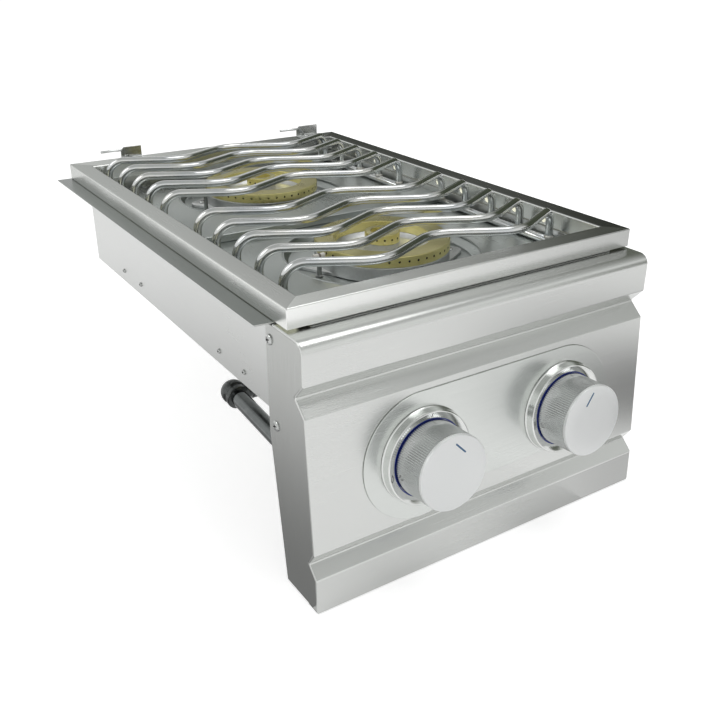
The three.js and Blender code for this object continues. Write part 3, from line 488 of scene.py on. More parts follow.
# ---- The burner bases
# Sand-cast alloy, the seat and ear tops machined. Each drops into its well and is held by a screw in each ear.
# A groove round it carries the outer flame ring and a hollow post in the middle carries the inner ring.
cast_alloy = metal("cast alloy", (0.55, 0.56, 0.56), (0.70, 0.71, 0.71), (0.36, 0.52), (420, 420, 420), 0.55,
                   smudge_scale=20)
ring_outer, ring_inner, ring_bottom, ring_top, ring_wall = 66, 47, -5, 5, 3
base_seat = well_floor + 0.3
neck_bore, neck_radius, neck_foot, seat_radius, post_radius, post_top = 12, 16, -47.7, 40, 17, -0.3
ear_turn, ear_reach, ear_radius, ear_hole_reach, ear_thick = 165, 75, 9, 71, 3
ear_root, ear_taper, ear_narrowing = 60, 20, 12
bowl = ring_bottom - 5
groove_lip, groove_floor = ring_bottom - 0.3, base_seat + 3
base_line = [(neck_bore, bowl - 3), (neck_bore, neck_foot), (neck_radius, neck_foot), (neck_radius, base_seat - 3),
             (seat_radius, base_seat - 3), (seat_radius, base_seat), (ring_outer - 0.8, base_seat),
             (ring_outer, base_seat + 0.8), (ring_outer, ring_bottom - 1.1), (ring_outer - 0.8, groove_lip),
             (ring_outer - ring_wall, groove_lip), (ring_outer - ring_wall, groove_floor),
             (ring_inner + ring_wall, groove_floor), (ring_inner + ring_wall, groove_lip), (ring_inner, groove_lip),
             (ring_inner - 3, bowl + 1), (ring_inner - 4.5, bowl), (20, bowl), (post_radius + 0.6, bowl + 1.2),
             (post_radius, bowl + 3), (post_radius, post_top), (0, post_top), (0, bowl - 3)]
root_radius = ring_outer - ring_wall
tangent = math.degrees(math.acos((root_radius - ear_radius) / ear_reach))
root = [(root_radius * math.cos(math.radians(tangent)), side * root_radius * math.sin(math.radians(tangent)))
        for side in (-1, 1)]
ear = [root[0]] + arc(ear_reach, 0, ear_radius, -tangent, tangent, 24) + [root[1]]
for end, y in burner_places.items():
    base = turned(base_line)
    for half_turn in (0, 180):
        turn = Matrix.Rotation(math.radians(ear_turn + half_turn), 3, "Z")
        bridge(base, [[turn @ Vector((x - inset * (x - ear_root) / ear_taper, across * (1 - inset / ear_narrowing),
                                      base_seat + up)) for x, across in ear]
                      for inset, up in ((0, 0), (0, ear_thick - 0.6), (0.5, ear_thick))])
    casting = solid(f"burner_base_casting_{end}", base, cast_alloy, smooth=38)
    fit(moved(casting, Matrix.Translation((0, y / 1000, 0))), "cast_alloy", f"burner_base_{end}")
    for i, half_turn in enumerate((0, 180)):
        turn = math.radians(ear_turn + half_turn)
        place = (ear_hole_reach * math.cos(turn), y + ear_hole_reach * math.sin(turn), base_seat + ear_thick)
        screw(f"ear_screw_{end}_{i + 1}", place, (0, 0, 1), "cast_alloy", radius=4)

# ---- The flame rings
# Machined from brass bar, with painted shade on their upward faces. They lie loose on the base, with gas ports
# drilled through the outer walls and painted shade inside the ports.
burner_brass = metal("machined brass", (0.78, 0.70, 0.27), (0.96, 0.88, 0.42), (0.24, 0.36), (90, 90, 1200), 0.12,
                     smudge_scale=22, smudge_share=0.6)
brass_tree = burner_brass.node_tree
brass_up = parts(brass_tree, add_node(brass_tree, "TexCoord").outputs["Normal"])["Z"]
# Painted shade: the upward faces are coloured down to half.
paint_shade_into(burner_brass, run_over(brass_tree, brass_up, 0, 1, 1, 0.5))
dress(burner_brass, {"Metallic": 0.75})
# Painted shade: near-black walls inside the gas ports.
port_painted_shade = metal("painted shade in the ports", (0.02, 0.018, 0.012), (0.05, 0.045, 0.03), (0.6, 0.8), (300, 300, 300), 0)


def port_drills(count, radius, inside, outside, height):
    """Small drills that point out all round, for the gas ports."""
    drills = bmesh.new()
    lift = Vector((0, 0, height))
    for i in range(count):
        turn = 2 * math.pi * (i + 0.5) / count
        away = Vector((math.cos(turn), math.sin(turn), 0))
        add_to(drills, cylinder(radius, away * inside + lift, away * outside + lift, 12))
    return solid("port_drills", drills, port_painted_shade)


chamfer, crown_bore, crown_radius, crown_top = 1.4, 11, 17, 10
outer_ports, outer_port_radius, inner_ports, inner_port_radius, inner_port_height = 44, 1.15, 14, 1.05, 4.6
outer_line = [(ring_inner, ring_bottom), (ring_inner + ring_wall, ring_bottom),
              (ring_inner + ring_wall, ring_top - ring_wall), (ring_outer - ring_wall, ring_top - ring_wall),
              (ring_outer - ring_wall, ring_bottom), (ring_outer, ring_bottom), (ring_outer, ring_top - chamfer),
              (ring_outer - chamfer * 0.3, ring_top - chamfer * 0.3), (ring_outer - chamfer, ring_top),
              (ring_inner + chamfer, ring_top), (ring_inner + chamfer * 0.3, ring_top - chamfer * 0.3),
              (ring_inner, ring_top - chamfer)]
inner_line = [(crown_bore, 0), (crown_radius, 0), (crown_radius, crown_top - chamfer),
              (crown_radius - chamfer * 0.3, crown_top - chamfer * 0.3), (crown_radius - chamfer, crown_top),
              (crown_bore + 0.6, crown_top), (crown_bore, crown_top - 0.6)]
for end, y in burner_places.items():
    ring = drill(solid(f"outer_flame_ring_{end}", turned(outer_line, 128), burner_brass, smooth=30),
                 port_drills(outer_ports, outer_port_radius, ring_outer - 4.5, ring_outer + 2, 0))
    fit(moved(ring, Matrix.Translation((0, y / 1000, 0))), "burner_brass", f"outer_burner_ring_{end}",
        body=f"outer_ring_{end}")
    crown = drill(solid(f"inner_flame_ring_{end}", turned(inner_line, 64), burner_brass, smooth=30),
                  port_drills(inner_ports, inner_port_radius, crown_radius - 4, crown_radius + 2, inner_port_height))
    fit(moved(crown, Matrix.Translation((0, y / 1000, 0))), "burner_brass", f"inner_burner_ring_{end}",
        body=f"inner_ring_{end}")

# ---- The igniters
# A glazed ceramic sleeve lying beside each burner on a short post, held by a clip, with a steel electrode
# that points at the ring.


def speckled(name, dark, light, scale, rough):
    """A plain finish whose colour drifts between two tones."""
    finish = new_finish(name)
    tree = finish.node_tree
    drift = add_node(tree, "TexNoise", {"Scale": scale}).outputs["Fac"]
    dress(finish, {"Base Color": mixed(tree, drift, (*dark, 1), (*light, 1), "RGBA"), "Roughness": rough})
    return finish


ceramic = speckled("glazed ceramic", (0.78, 0.75, 0.68), (0.90, 0.88, 0.83), 260, 0.22)
dress(ceramic, {"Coat Weight": 0.4})
post_steel = metal("igniter post", (0.26, 0.27, 0.265), (0.36, 0.37, 0.365), (0.3, 0.45), (300, 300, 300), 0.05)
clip_steel = metal("igniter clip", (0.16, 0.12, 0.10), (0.30, 0.26, 0.23), (0.25, 0.4), (400, 400, 400), 0.1)


def rounded_route(corners, radii, steps=10):
    """The corners of a bent bar's middle line, each rounded to its bend."""
    corners = [Vector(corner) for corner in corners]
    route = [corners[0]]
    for before, corner, after, radius in zip(corners, corners[1:], corners[2:], radii):
        back, on = (before - corner).normalized(), (after - corner).normalized()
        half = back.angle(on) / 2
        middle = corner + (back + on).normalized() * radius / math.sin(half)
        start = corner + back * radius / math.tan(half) - middle
        end = corner + on * radius / math.tan(half) - middle
        sweep = start.angle(end)
        route += [middle + start * math.sin((1 - i / steps) * sweep) / math.sin(sweep)
                  + end * math.sin(i / steps * sweep) / math.sin(sweep) for i in range(steps + 1)]
    return route + [corners[-1]]


def bent_bar(route, radius, sides=20):
    """A round bar along a route, with its ends turned slightly round."""
    end_share, end_length = 0.72, 0.3
    route = [Vector(point) for point in route]
    ways = [(after - before).normalized() for before, after in zip(route, route[1:])]
    ways = [ways[0]] + [(a + b).normalized() for a, b in zip(ways, ways[1:])] + [ways[-1]]
    side = ways[0].orthogonal().normalized()
    rings = []
    last = len(route) - 1
    for i, (point, way) in enumerate(zip(route, ways)):
        side = (side - way * side.dot(way)).normalized()
        up = way.cross(side)
        places = [(point, radius)]
        if i == 0:
            places = [(point, radius * end_share), (point + way * radius * end_length, radius)]
        if i == last:
            places = [(point - way * radius * end_length, radius), (point, radius * end_share)]
        for middle, size in places:
            rings.append([middle + (side * a + up * b) * size for a, b in circle(1, sides)])
    return bridge(bmesh.new(), rings)


igniter_turn, igniter_reach, igniter_rise = math.radians(186), 76, 0.3
sleeve_line = [(0, -6.5), (1.9, -6.5), (2.4, -6), (2.4, -1.6), (2.0, -1.2), (2.0, 0.4), (2.4, 0.8), (2.4, 5.2),
               (1.7, 6), (0, 6)]
post_line = [(0, base_seat), (3.4, base_seat), (3.4, base_seat + 1), (2.2, base_seat + 1.6), (2.2, -1), (0, -1)]
clip_line = [(2.0, -1.1), (2.75, -1.1), (2.75, 0.3), (2.0, 0.3)]
electrode_route = [(5, 0, igniter_rise), (8.2, 0, igniter_rise)]
along_barrel = Matrix.Translation((0, 0, igniter_rise / 1000)) @ Matrix.Rotation(math.pi / 2, 4, "Y")
for end, y in burner_places.items():
    lie = (Matrix.Translation((igniter_reach * math.cos(igniter_turn) / 1000,
                               (y + igniter_reach * math.sin(igniter_turn)) / 1000, 0))
           @ Matrix.Rotation(igniter_turn + math.pi, 4, "Z"))
    sleeve = solid(f"igniter_barrel_{end}", turned(sleeve_line, 32), ceramic)
    fit(moved(sleeve, lie @ along_barrel), "igniter_ceramic", f"igniter_{end}")
    post = solid(f"igniter_post_{end}", turned(post_line, 32), post_steel)
    fit(moved(post, lie), "box_steel")
    clip = solid(f"igniter_clip_{end}", turned(clip_line, 32), clip_steel)
    fit(moved(clip, lie @ along_barrel), "dark_fitting")
    electrode = solid(f"igniter_electrode_{end}", bent_bar(electrode_route, 0.8, 12), clip_steel)
    fit(moved(electrode, lie), "polished_steel")

# ---- The gas train under the tray
# Mixer tubes are cast, injectors and valves are turned from brass, and the small tubes are drawn alloy.
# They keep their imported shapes, because the tray and the box hide nearly all of them.
valve_brass = metal("turned valve brass", (0.52, 0.42, 0.18), (0.66, 0.55, 0.26), (0.22, 0.34), (500, 500, 500), 0.15)
tube_alloy = metal("drawn tube alloy", (0.66, 0.67, 0.68), (0.76, 0.77, 0.78), (0.2, 0.32), (120, 120, 120), 0.1)
stem_steel = metal("stem steel", (0.66, 0.67, 0.67), (0.78, 0.79, 0.79), (0.16, 0.24), (300, 300, 300), 0.05)
finish_packed(cast_alloy, "mixer_tube_front", "mixer_tube_rear")
finish_packed(tube_alloy, "gas_tube_front", "gas_tube_rear")
finish_packed(valve_brass, "gas_injector_front", "gas_injector_rear", "valve_body_left", "valve_body_right",
              "valve_plug_left", "valve_plug_right")
finish_packed(stem_steel, "valve_stem_left", "valve_stem_right")

# ---- The grates
# Five bars of polished round steel, bent in a wave so that a pan can't slip between them,
# with turned-down legs welded to a runner on each side. Each grate lifts out whole.
bar_steel = metal("polished bar steel", (0.58, 0.60, 0.62), (0.70, 0.70, 0.67), (0.12, 0.20), (200, 200, 200), 0.03,
                  smudge_scale=30, smudge_share=0.8)
weld_steel = metal("weld beads", (0.42, 0.40, 0.36), (0.66, 0.66, 0.64), (0.24, 0.42), (500, 500, 500), 0.4)
bar_count, bar_radius, bar_span, bar_axis, bar_pitch = 5, 4, 150, 26, 43.3
rail_axis, rail_past_leg, leg_foot = -7.7, 4, -3.4
wave, wave_depth, leg_bend, wave_bend = [(-1, 0), (-0.5, 1.055), (0, 0.055), (0.5, 1.055), (1, 0)], 38, 20, 42
bead_line = [(0, -2.4), (3.6, -2.4), (4.9, -0.6), (4.5, 0.6), (4.05, 1.8), (0, 1.8)]
for end, x, first_leg in (("front", 2.5, -196), ("rear", 0, 57.5)):
    legs = [first_leg + i * bar_pitch for i in range(bar_count)]
    for i, y in enumerate(legs):
        line = [(x + span * bar_span, y - depth * wave_depth, bar_axis) for span, depth in wave]
        line = [(line[0][0], line[0][1], leg_foot)] + line + [(line[-1][0], line[-1][1], leg_foot)]
        bar = bent_bar(rounded_route(line, (leg_bend, wave_bend, wave_bend, wave_bend, leg_bend)), bar_radius)
        fit(solid(f"grate_{end}_bar_{i + 1}", bar, bar_steel, smooth=50), "bar_steel", f"{end}_grate_bar_{i + 1}",
            body=f"grate_{end}")
    for side, side_name in both_sides:
        rail_x = x + side * bar_span
        rail = bent_bar([(rail_x, legs[0] - rail_past_leg, rail_axis), (rail_x, legs[-1] + rail_past_leg, rail_axis)],
                        bar_radius)
        fit(solid(f"grate_{end}_runner_{side_name}", rail, bar_steel, smooth=50), "bar_steel",
            f"{end}_grate_rail_{side_name}", body=f"grate_{end}")
        beads = bmesh.new()
        for y in legs:
            bead = turned(bead_line, 20)
            bmesh.ops.translate(bead, vec=(rail_x, y, leg_foot), verts=bead.verts)
            add_to(beads, bead)
        fit(solid(f"grate_{end}_welds_{side_name}", beads, weld_steel, smooth=60), "bar_steel", body=f"grate_{end}")

# ---- The fascia
# One sheet folded on a brake: a round nose, a flat band, a crease, the leaning panel, a second crease
# and the lower band, with painted shade that deepens toward its right end. It is brushed from side to side,
# and the shaped end panels close it.
panel_steel = metal("fascia steel brushed across", (0.66, 0.67, 0.655), (0.70, 0.71, 0.695), (0.23, 0.29),
                    (24, 1500, 1500), 0.015, smudge_scale=4)
panel_tree = panel_steel.node_tree
panel_x, _, panel_z = parts(panel_tree, add_node(panel_tree, "TexCoord").outputs["Object"])
# Painted shade: the lower band's colour darkens toward the right end.
band_top, band_run, band_painted_shade_range = -0.2075, (-0.03, 0.186), (0.93, 0.64)
band_painted_shade = run_over(panel_tree, panel_x, *band_run, *band_painted_shade_range, "SMOOTHSTEP")
paint_shade_into(panel_steel, mixed(panel_tree, arithmetic(panel_tree, "LESS_THAN", panel_z, band_top), 1, band_painted_shade))
fascia_half, fascia_sheet = 185.7, 1.5
panel_lean, panel_length, panel_set_back = math.radians(4.5), 121.4, 26.5
panel_drop = panel_length * math.cos(panel_lean)
panel_foot_reach = panel_set_back + panel_drop * math.tan(panel_lean)
nose_radius, nose_reach, nose_top, nose_foot, panel_head = 10.5, 25, -0.3, -35.5, -62
nose_centre = (frame_front - nose_reach + nose_radius, nose_top - nose_radius)


def eased(line, radius):
    """A folded line with each inner corner turned on a small bend."""
    route = rounded_route([Vector((0, *point)) for point in line], [radius] * (len(line) - 2), 5)
    return [(point.y, point.z) for point in route]


def set_over(line, distance):
    """The same line moved over by the sheet's thickness."""
    moved_line = []
    for i, (across, up) in enumerate(line):
        normals = []
        for start, end in ((line[max(i - 1, 0)], line[i]), (line[i], line[min(i + 1, len(line) - 1)])):
            length = math.hypot(end[0] - start[0], end[1] - start[1])
            if length > 1e-6:
                normals.append((-(end[1] - start[1]) / length, (end[0] - start[0]) / length))
        spread = 1 + normals[0][0] * normals[-1][0] + normals[0][1] * normals[-1][1]
        moved_line.append((across + (normals[0][0] + normals[-1][0]) * distance / spread,
                           up + (normals[0][1] + normals[-1][1]) * distance / spread))
    return moved_line


def between_sides(section, left, right):
    """A closed section in Y and Z carried along X."""
    return bridge(bmesh.new(), [[(x, y, z) for y, z in section] for x in (left, right)])


def folded_sheet(line, thick, half, round_over):
    """A folded sheet carried across, each end of its outer face turned over on a small round."""
    maker = bmesh.new()
    steps = 4
    turns = [math.radians(90 - 90 * i / steps) for i in range(steps + 1)]
    stations = [(half - round_over + round_over * math.sin(a), round_over - round_over * math.cos(a)) for a in turns]
    stations = [(-x, inset) for x, inset in stations] + stations[::-1]
    inside = set_over(line, thick)
    rows = [[maker.verts.new((x, *point)) for point in set_over(line, inset) + inside[::-1]] for x, inset in stations]
    count = 2 * len(line)
    for row, after in zip(rows, rows[1:]):
        for i in range(count):
            maker.faces.new((row[i], row[(i + 1) % count], after[(i + 1) % count], after[i]))
    for row in (rows[0], rows[-1]):
        for i in range(len(line) - 1):
            maker.faces.new((row[i], row[i + 1], row[count - 2 - i], row[count - 1 - i]))
    return maker


panel_foot, panel_foot_z = frame_front - panel_foot_reach, panel_head - panel_drop
below_nose = [(frame_front - nose_reach, nose_foot), (frame_front - 12.5, -49.5),
              (frame_front - panel_set_back, panel_head), (panel_foot, panel_foot_z),
              (panel_foot + 8.5, panel_foot_z - 12.5), (panel_foot - 2.5, panel_foot_z - 23),
              (panel_foot - 4, panel_foot_z - 57)]
shelf_end, bend_radius, end_round = (-248, nose_top), 1.6, 1.3
nose = arc(*nose_centre, nose_radius, 90, 180, 14)
foot_return = (below_nose[-1][0] + 15, below_nose[-1][1])
skin_line = [shelf_end] + nose[:-1] + eased([nose[-1]] + below_nose + [foot_return], bend_radius)
fascia = solid("fascia_skin", folded_sheet(skin_line, fascia_sheet, fascia_half, end_round), panel_steel, smooth=30)

knob_drop = 63.4
panel_place = Vector((0, frame_front - panel_set_back - knob_drop * math.sin(panel_lean),
                      panel_head - knob_drop * math.cos(panel_lean)))
panel_turn = Matrix.Rotation(math.pi / 2 - panel_lean, 3, "X")
knob_places = {"left": -76, "right": 80.5}


def on_panel(x, up, out):
    """A point given on the leaning panel: across it, up it and out from it."""
    return panel_place + panel_turn @ Vector((x, up, out))


stem_hole = 9
drill(fascia, *[solid("stem_drill", cylinder(stem_hole, on_panel(x, 0, -6), on_panel(x, 0, 6), 40))
                for x in knob_places.values()])
fit(fascia, "panel_steel", "fascia")

# The end panels' steel is coloured darker than the fascia's, as painted shade on these side faces.
end_steel_painted_shade = metal("end panel steel brushed upright in painted shade", (0.46, 0.47, 0.455), (0.52, 0.53, 0.515), (0.20, 0.27),
                  (1500, 1500, 30), 0.03, smudge_scale=5)
end_gap = 0.3
inside_line = set_over([shelf_end] + nose + below_nose, fascia_sheet + end_gap)
end_foot, end_back, end_knee = below_nose[-1][1] + fascia_sheet + end_gap, -236.8, -100
end_outline = inside_line[1:-1] + [(inside_line[-1][0], end_foot), (-257.5, end_foot), (end_back, end_knee),
                                   (end_back, inside_line[0][1])]
fold_section = [(end_back - sheet, end_knee), (end_back, end_knee), (end_back, inside_line[0][1]),
                (end_back - sheet, inside_line[0][1])]
for side, side_name in both_sides:
    ends = sorted((side * fascia_half, side * (fascia_half - sheet)))
    plate = solid(f"end_panel_plate_{side_name}", between_sides(end_outline, *ends), end_steel_painted_shade, smooth=30)
    fit(soften(plate, 0.3, turn=60), "panel_steel", f"end_panel_{side_name}")
    fold_ends = sorted((side * (box_wall + 0.3), side * (fascia_half - 0.6)))
    fit(solid(f"end_panel_fold_{side_name}", between_sides(fold_section, *fold_ends), end_steel_painted_shade), "panel_steel")
    for i, (y, z) in enumerate(((-243, -15), (-249, -89))):
        screw(f"end_panel_screw_{side_name}_{i + 1}", (side * fascia_half, y, z), (side, 0, 0), "panel_steel",
              radius=4.6)

# ---- The control plate
# A flat plate with a round lobe behind each knob, cut from sheet and brushed like the fascia.
# It stands just off the leaning panel and has a hole for each stem.
plate_steel = metal("control plate steel", (0.66, 0.68, 0.66), (0.72, 0.74, 0.72), (0.22, 0.30),
                    (24, 1500, 1500), 0.02, smudge_scale=5)
lobe, plate_foot, lobe_past_knob, plate_back, plate_front = 58, 41, 2.5, 0.3, 1.5
edge_turn = math.degrees(math.asin(plate_foot / lobe))
plate_outline = (arc(knob_places["left"] - lobe_past_knob, 0, lobe, 90, 360 - edge_turn, 60)
                 + arc(knob_places["right"] + lobe_past_knob, 0, lobe, -edge_turn, 90, 40))


def flat_plate(outline, holes, low, high):
    """A flat plate cut to an outline, with round holes given as x, y and radius."""
    maker = bmesh.new()
    fill(maker, [outline] + [circle(radius, 40, x, y) for x, y, radius in holes], high)
    pressed = bmesh.ops.extrude_face_region(maker, geom=list(maker.faces))
    corners = [part for part in pressed["geom"] if isinstance(part, bmesh.types.BMVert)]
    bmesh.ops.translate(maker, vec=(0, 0, low - high), verts=corners)
    bmesh.ops.dissolve_limit(maker, angle_limit=math.radians(0.5), verts=maker.verts, edges=maker.edges)
    return maker


def to_panel(made, x=0):
    """Moves a piece made about the origin to its place on the leaning panel."""
    return moved(made, Matrix.Translation(on_panel(x, 0, 0) / 1000) @ panel_turn.to_4x4())


stem_holes = [(x, 0, stem_hole) for x in knob_places.values()]
control_plate = solid("control_plate_sheet", flat_plate(plate_outline, stem_holes, plate_back, plate_front),
                      plate_steel, smooth=30)
fit(to_panel(soften(control_plate, 0.35, turn=60)), "panel_steel", "control_plate")

# ---- The bezels
# Turned and chromed rings with a stepped foot and a dished face, one round each knob.
# A plain stroke marks off and a small flame marks high, both printed on the dished face.
chrome = metal("bezel chrome", (0.72, 0.735, 0.72), (0.80, 0.81, 0.795), (0.12, 0.18), (80, 80, 80), 0.02,
               smudge_scale=40)
mark_ink = speckled("printed mark", (0.06, 0.065, 0.06), (0.20, 0.21, 0.20), 700, 0.5)
dish_inside, dish_outside = (35.9, 8.6), (41.2, 10.5)
bezel_line = [(36.6, 1.8), (44, 1.8), (44, 2.6), (43.7, 3.0), (43.2, 3.2), (43.0, 3.6), (42.7, 8.9), (42.4, 9.9),
              (41.8, 10.4), dish_outside, dish_inside, (35.5, 8.3), (35.4, 7.9), (35.4, 7.3), (36.6, 7.3)]


def dish(across, up, out):
    """A point over the bezel's dished face."""
    slope = (dish_outside[1] - dish_inside[1]) / (dish_outside[0] - dish_inside[0])
    return (across, up, dish_inside[1] + (math.hypot(across, up) - dish_inside[0]) * slope + out)


mark_foot, mark_top = -0.5, 0.05
stroke_outline = ((-0.4, 36.9), (0.4, 36.9), (0.4, 40.9), (-0.4, 40.9))
flame_place, flame_wall = (-38.6, -7), 0.62
flame = [(0.2, 4.2), (1.3, 2.2), (2.0, 0.4), (1.6, -1.8), (0, -2.9), (-1.6, -1.8), (-2.0, 0.2), (-1.0, 1.6)]
flame_section = ((1, mark_foot), (1, mark_top), (flame_wall, mark_top), (flame_wall, mark_foot))
for side_name, x in knob_places.items():
    bezel = solid(f"bezel_ring_{side_name}", turned(bezel_line, 128), chrome, smooth=24)
    fit(to_panel(bezel, x), "polished_steel", f"bezel_{side_name}")
    stroke = bridge(bmesh.new(), [[dish(a, b, out) for a, b in stroke_outline] for out in (mark_foot, mark_top)])
    bmesh.ops.rotate(stroke, verts=stroke.verts, matrix=Matrix.Rotation(math.radians(-4), 3, "Z"))
    fit(to_panel(solid(f"bezel_stroke_{side_name}", stroke, mark_ink), x), "dark_fitting")
    flame_mark = bridge(bmesh.new(), [[dish(flame_place[0] + a * share, flame_place[1] + b * share, out)
                                       for share, out in flame_section] for a, b in flame], closed=True)
    fit(to_panel(solid(f"bezel_flame_{side_name}", flame_mark, mark_ink), x), "dark_fitting")

# ---- The lit rings
# A clear plastic ring round the foot of each knob, lit blue from behind. It is pressed into the bezel,
# and a thin line of it shows between the bezel and the knob.
led_blue = speckled("ring lit blue", (0.006, 0.006, 0.07), (0.012, 0.04, 0.34), 60, 0.25)
dress(led_blue, {"Emission Color": base_colour(led_blue), "Emission Strength": 0.25})
glow_line = [(34.7, 1.8), (36.3, 1.8), (36.3, 6.9), (35.2, 6.9), (35.2, 8.1), (34.7, 8.1)]
for side_name, x in knob_places.items():
    glow = solid(f"lit_ring_{side_name}", turned(glow_line, 128), led_blue, smooth=24)
    fit(to_panel(glow, x), "led_blue", f"led_ring_{side_name}")

# ---- The knobs
# Die-cast and satin plated, with a fine knurl round the side, a slightly crowned face and one filled line.
# A hub inside each knob grips its stem.
knob_satin = metal("satin plated knob", (0.82, 0.835, 0.83), (0.87, 0.885, 0.88), (0.34, 0.40),
                   (1200, 1200, 1200), 0.03, smudge_scale=9, smudge_share=0.8)
dress(knob_satin, {"Metallic": 0.4})
knob_knurl = metal("knob side", (0.52, 0.53, 0.53), (0.60, 0.61, 0.61), (0.16, 0.22), (900, 900, 900), 0.02,
                   smudge_scale=18)
line_blue = speckled("filled line", (0.03, 0.09, 0.20), (0.06, 0.18, 0.34), 240, 0.3)
knob_front, knob_base, knob_face = 42, 34.1, 33.6
ridges, ridge_depth, knurl_foot, knurl_reach, line_half = 108, 0.5, 7.5, 32.5, 0.75
knob_line = [(knob_base - 2.6, knob_front - 4, 0), (knob_base - 2.6, 6.5, 0), (knob_base - 0.3, 6.5, 0),
             (knob_base - 0.1, 7.0, 0), (knob_base - 0.1, 9, 1), (knob_base - 0.3, 24, 1),
             (knob_face, knob_front - 3.4, 1), (knob_face, knob_front - 2.6, 0), (knob_face, knob_front - 1.6, 0),
             (knob_face - 0.25, knob_front - 0.8, 0), (knob_face - 0.8, knob_front - 0.3, 0),
             (knob_face - 1.6, knob_front - 0.1, 0), (20, knob_front - 0.02, 0), (6, knob_front, 0)]
hub_line = [(4.3, 22), (9, 22), (9, 38.2), (4.3, 38.2)]
marks = {"left": ((1.8, 25.7), (10.6, 16.5)), "right": ((-1.4, 27.2), (-8.9, 17.0))}
for side_name, x in knob_places.items():
    body = f"knob_{side_name}"
    rings = []
    for radius, height, cut in knob_line:
        cuts = [radius - cut * ridge_depth * (i % 2) for i in range(2 * ridges)]
        rings.append([(cuts[i] * math.cos(math.pi * i / ridges), cuts[i] * math.sin(math.pi * i / ridges), height)
                      for i in range(2 * ridges)])
    knob = solid(f"knob_shell_{side_name}", bridge(bmesh.new(), rings), knob_satin, smooth=24)
    refinish(knob, knob_knurl, lambda face: knurl_foot / 1000 < face.center.z < (knob_front - 3) / 1000
             and math.hypot(face.center.x, face.center.y) > knurl_reach / 1000)
    fit(to_panel(knob, x), "knob_satin", f"knob_{side_name}", body=body)
    hub = solid(f"knob_hub_{side_name}", turned(hub_line, 48), knob_satin)
    fit(to_panel(hub, x), "knob_satin", body=body)
    start, end = (Vector((*point, knob_front + 0.06)) for point in marks[side_name])
    along = (end - start).normalized()
    across = Vector((-along.y, along.x, 0))
    stroke = []
    for middle, way in ((start, 1), (end, -1)):
        stroke += [middle + (across * a - along * b) * way for a, b in arc(0, 0, line_half, 0, 180)]
    line = bridge(bmesh.new(), [[point - Vector((0, 0, down)) for point in stroke] for down in (0.5, 0)])
    fit(to_panel(solid(f"knob_line_{side_name}", line, line_blue), x), "led_blue", body=body)

# ---- The gas pipe and its elbow
# Steel pipe of the 3/8-inch size, dark all over and bent once. A forged elbow is screwed to its open end
# and turns in under the box.
dark_pipe = metal("dark pipe steel", (0.13, 0.14, 0.14), (0.20, 0.21, 0.21), (0.08, 0.16), (150, 150, 150), 0.03)
dark_fitting = metal("dark forged fitting", (0.06, 0.065, 0.065), (0.13, 0.135, 0.135), (0.12, 0.22),
                     (300, 300, 300), 0.1)
pipe_axis, pipe_radius, pipe_bend = on_panel(0, -25, -40), 8.6, 22
inlet_x, inlet_y, inlet_rise, plugged_x = -150, -101.5, 12.5, 111.5
inlet_end = Vector((inlet_x, inlet_y, pipe_axis.z + inlet_rise))
inlet_corner = Vector((inlet_x, pipe_axis.y, pipe_axis.z))
pipe_right = Vector((plugged_x, pipe_axis.y, pipe_axis.z))
route = rounded_route([pipe_right, inlet_corner, inlet_end], [pipe_bend], 14)
fit(solid("gas_pipe", bent_bar(route, pipe_radius, 32), dark_pipe, smooth=40), "polished_steel", "gas_manifold")
inlet_way = (inlet_end - inlet_corner).normalized()
ball_reach, ball_radius = 13, 12.6
ball = [(ball_radius * math.cos(math.radians(a)), ball_reach + ball_radius * math.sin(math.radians(a)))
        for a in range(-12, 90, 8)]
elbow_line = [(0, 0.3), (10.8, 0.3), (12.2, 1.0), (12.2, 5.4), (10.9, 6.2), (9.9, 6.6), (9.9, 9), (10.6, 9.6)]
elbow_line += ball + [(0, ball_reach + ball_radius)]
arm_line = [(0, 2), (9.8, 2), (9.8, 17), (11.2, 18), (11.2, 26.2), (10.4, 27), (7.4, 27), (6.3, 26), (6.3, 13),
            (0, 13)]
elbow = solid("inlet_elbow_body", turned(elbow_line, 48), dark_fitting, smooth=40)
facing_inlet = inlet_way.to_track_quat("Z", "Y").to_matrix().to_4x4()
fit(moved(elbow, Matrix.Translation(inlet_end / 1000) @ facing_inlet), "dark_fitting", "inlet_elbow")
arm = solid("inlet_elbow_arm", turned(arm_line, 48), dark_fitting, smooth=40)
ball_centre = inlet_end + inlet_way * ball_reach
fit(moved(arm, Matrix.Translation(ball_centre / 1000) @ Matrix.Rotation(math.pi / 2, 4, "Y")), "dark_fitting")

# ---- The lid's hinge brackets
# Folded steel tabs screwed to the frame at the back, each with the pin that a lid swings on.
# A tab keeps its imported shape, with its edges broken.
for packed in ("hinge_bracket_left", "hinge_bracket_right"):
    softened_copy(packed, screw_steel, 0.3, "frame_steel")
pin_steel = metal("pin steel", (0.60, 0.61, 0.61), (0.76, 0.77, 0.77), (0.12, 0.2), (300, 300, 300), 0.05)
pin_radius, tab_top, screw_aside, screw_inset = 1.5, 20.8, 4, 4.4
for side_name in ("left", "right"):
    low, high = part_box(f"hinge_pin_{side_name}")
    middle = [(a + b) * 500 for a, b in zip(low, high)]
    pin = bent_bar([(low[0] * 1000, middle[1], middle[2]), (high[0] * 1000, middle[1], middle[2])], pin_radius)
    fit(solid(f"hinge_pin_bar_{side_name}", pin, pin_steel, smooth=50), "polished_steel", f"hinge_pin_{side_name}")
    tab_low, tab_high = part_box(f"hinge_bracket_{side_name}")
    place = ((tab_low[0] + tab_high[0]) * 500 - screw_aside, tab_low[1] * 1000 + screw_inset, tab_top)
    screw(f"hinge_screw_{side_name}", place, (0, 0, 1), "frame_steel", radius=3)

# ---- The studio
# A pale floor, a white surround and two large soft lamps, with sizes in metres. What only metal sees: a grey
# ceiling, a dark flag and skirting on the right, and two shaded areas on the floor, as the photograph's
# reflections show.
floor_height, floor_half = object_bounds()[0][2] - 0.0005, 9
white = (1, 1, 1, 1)


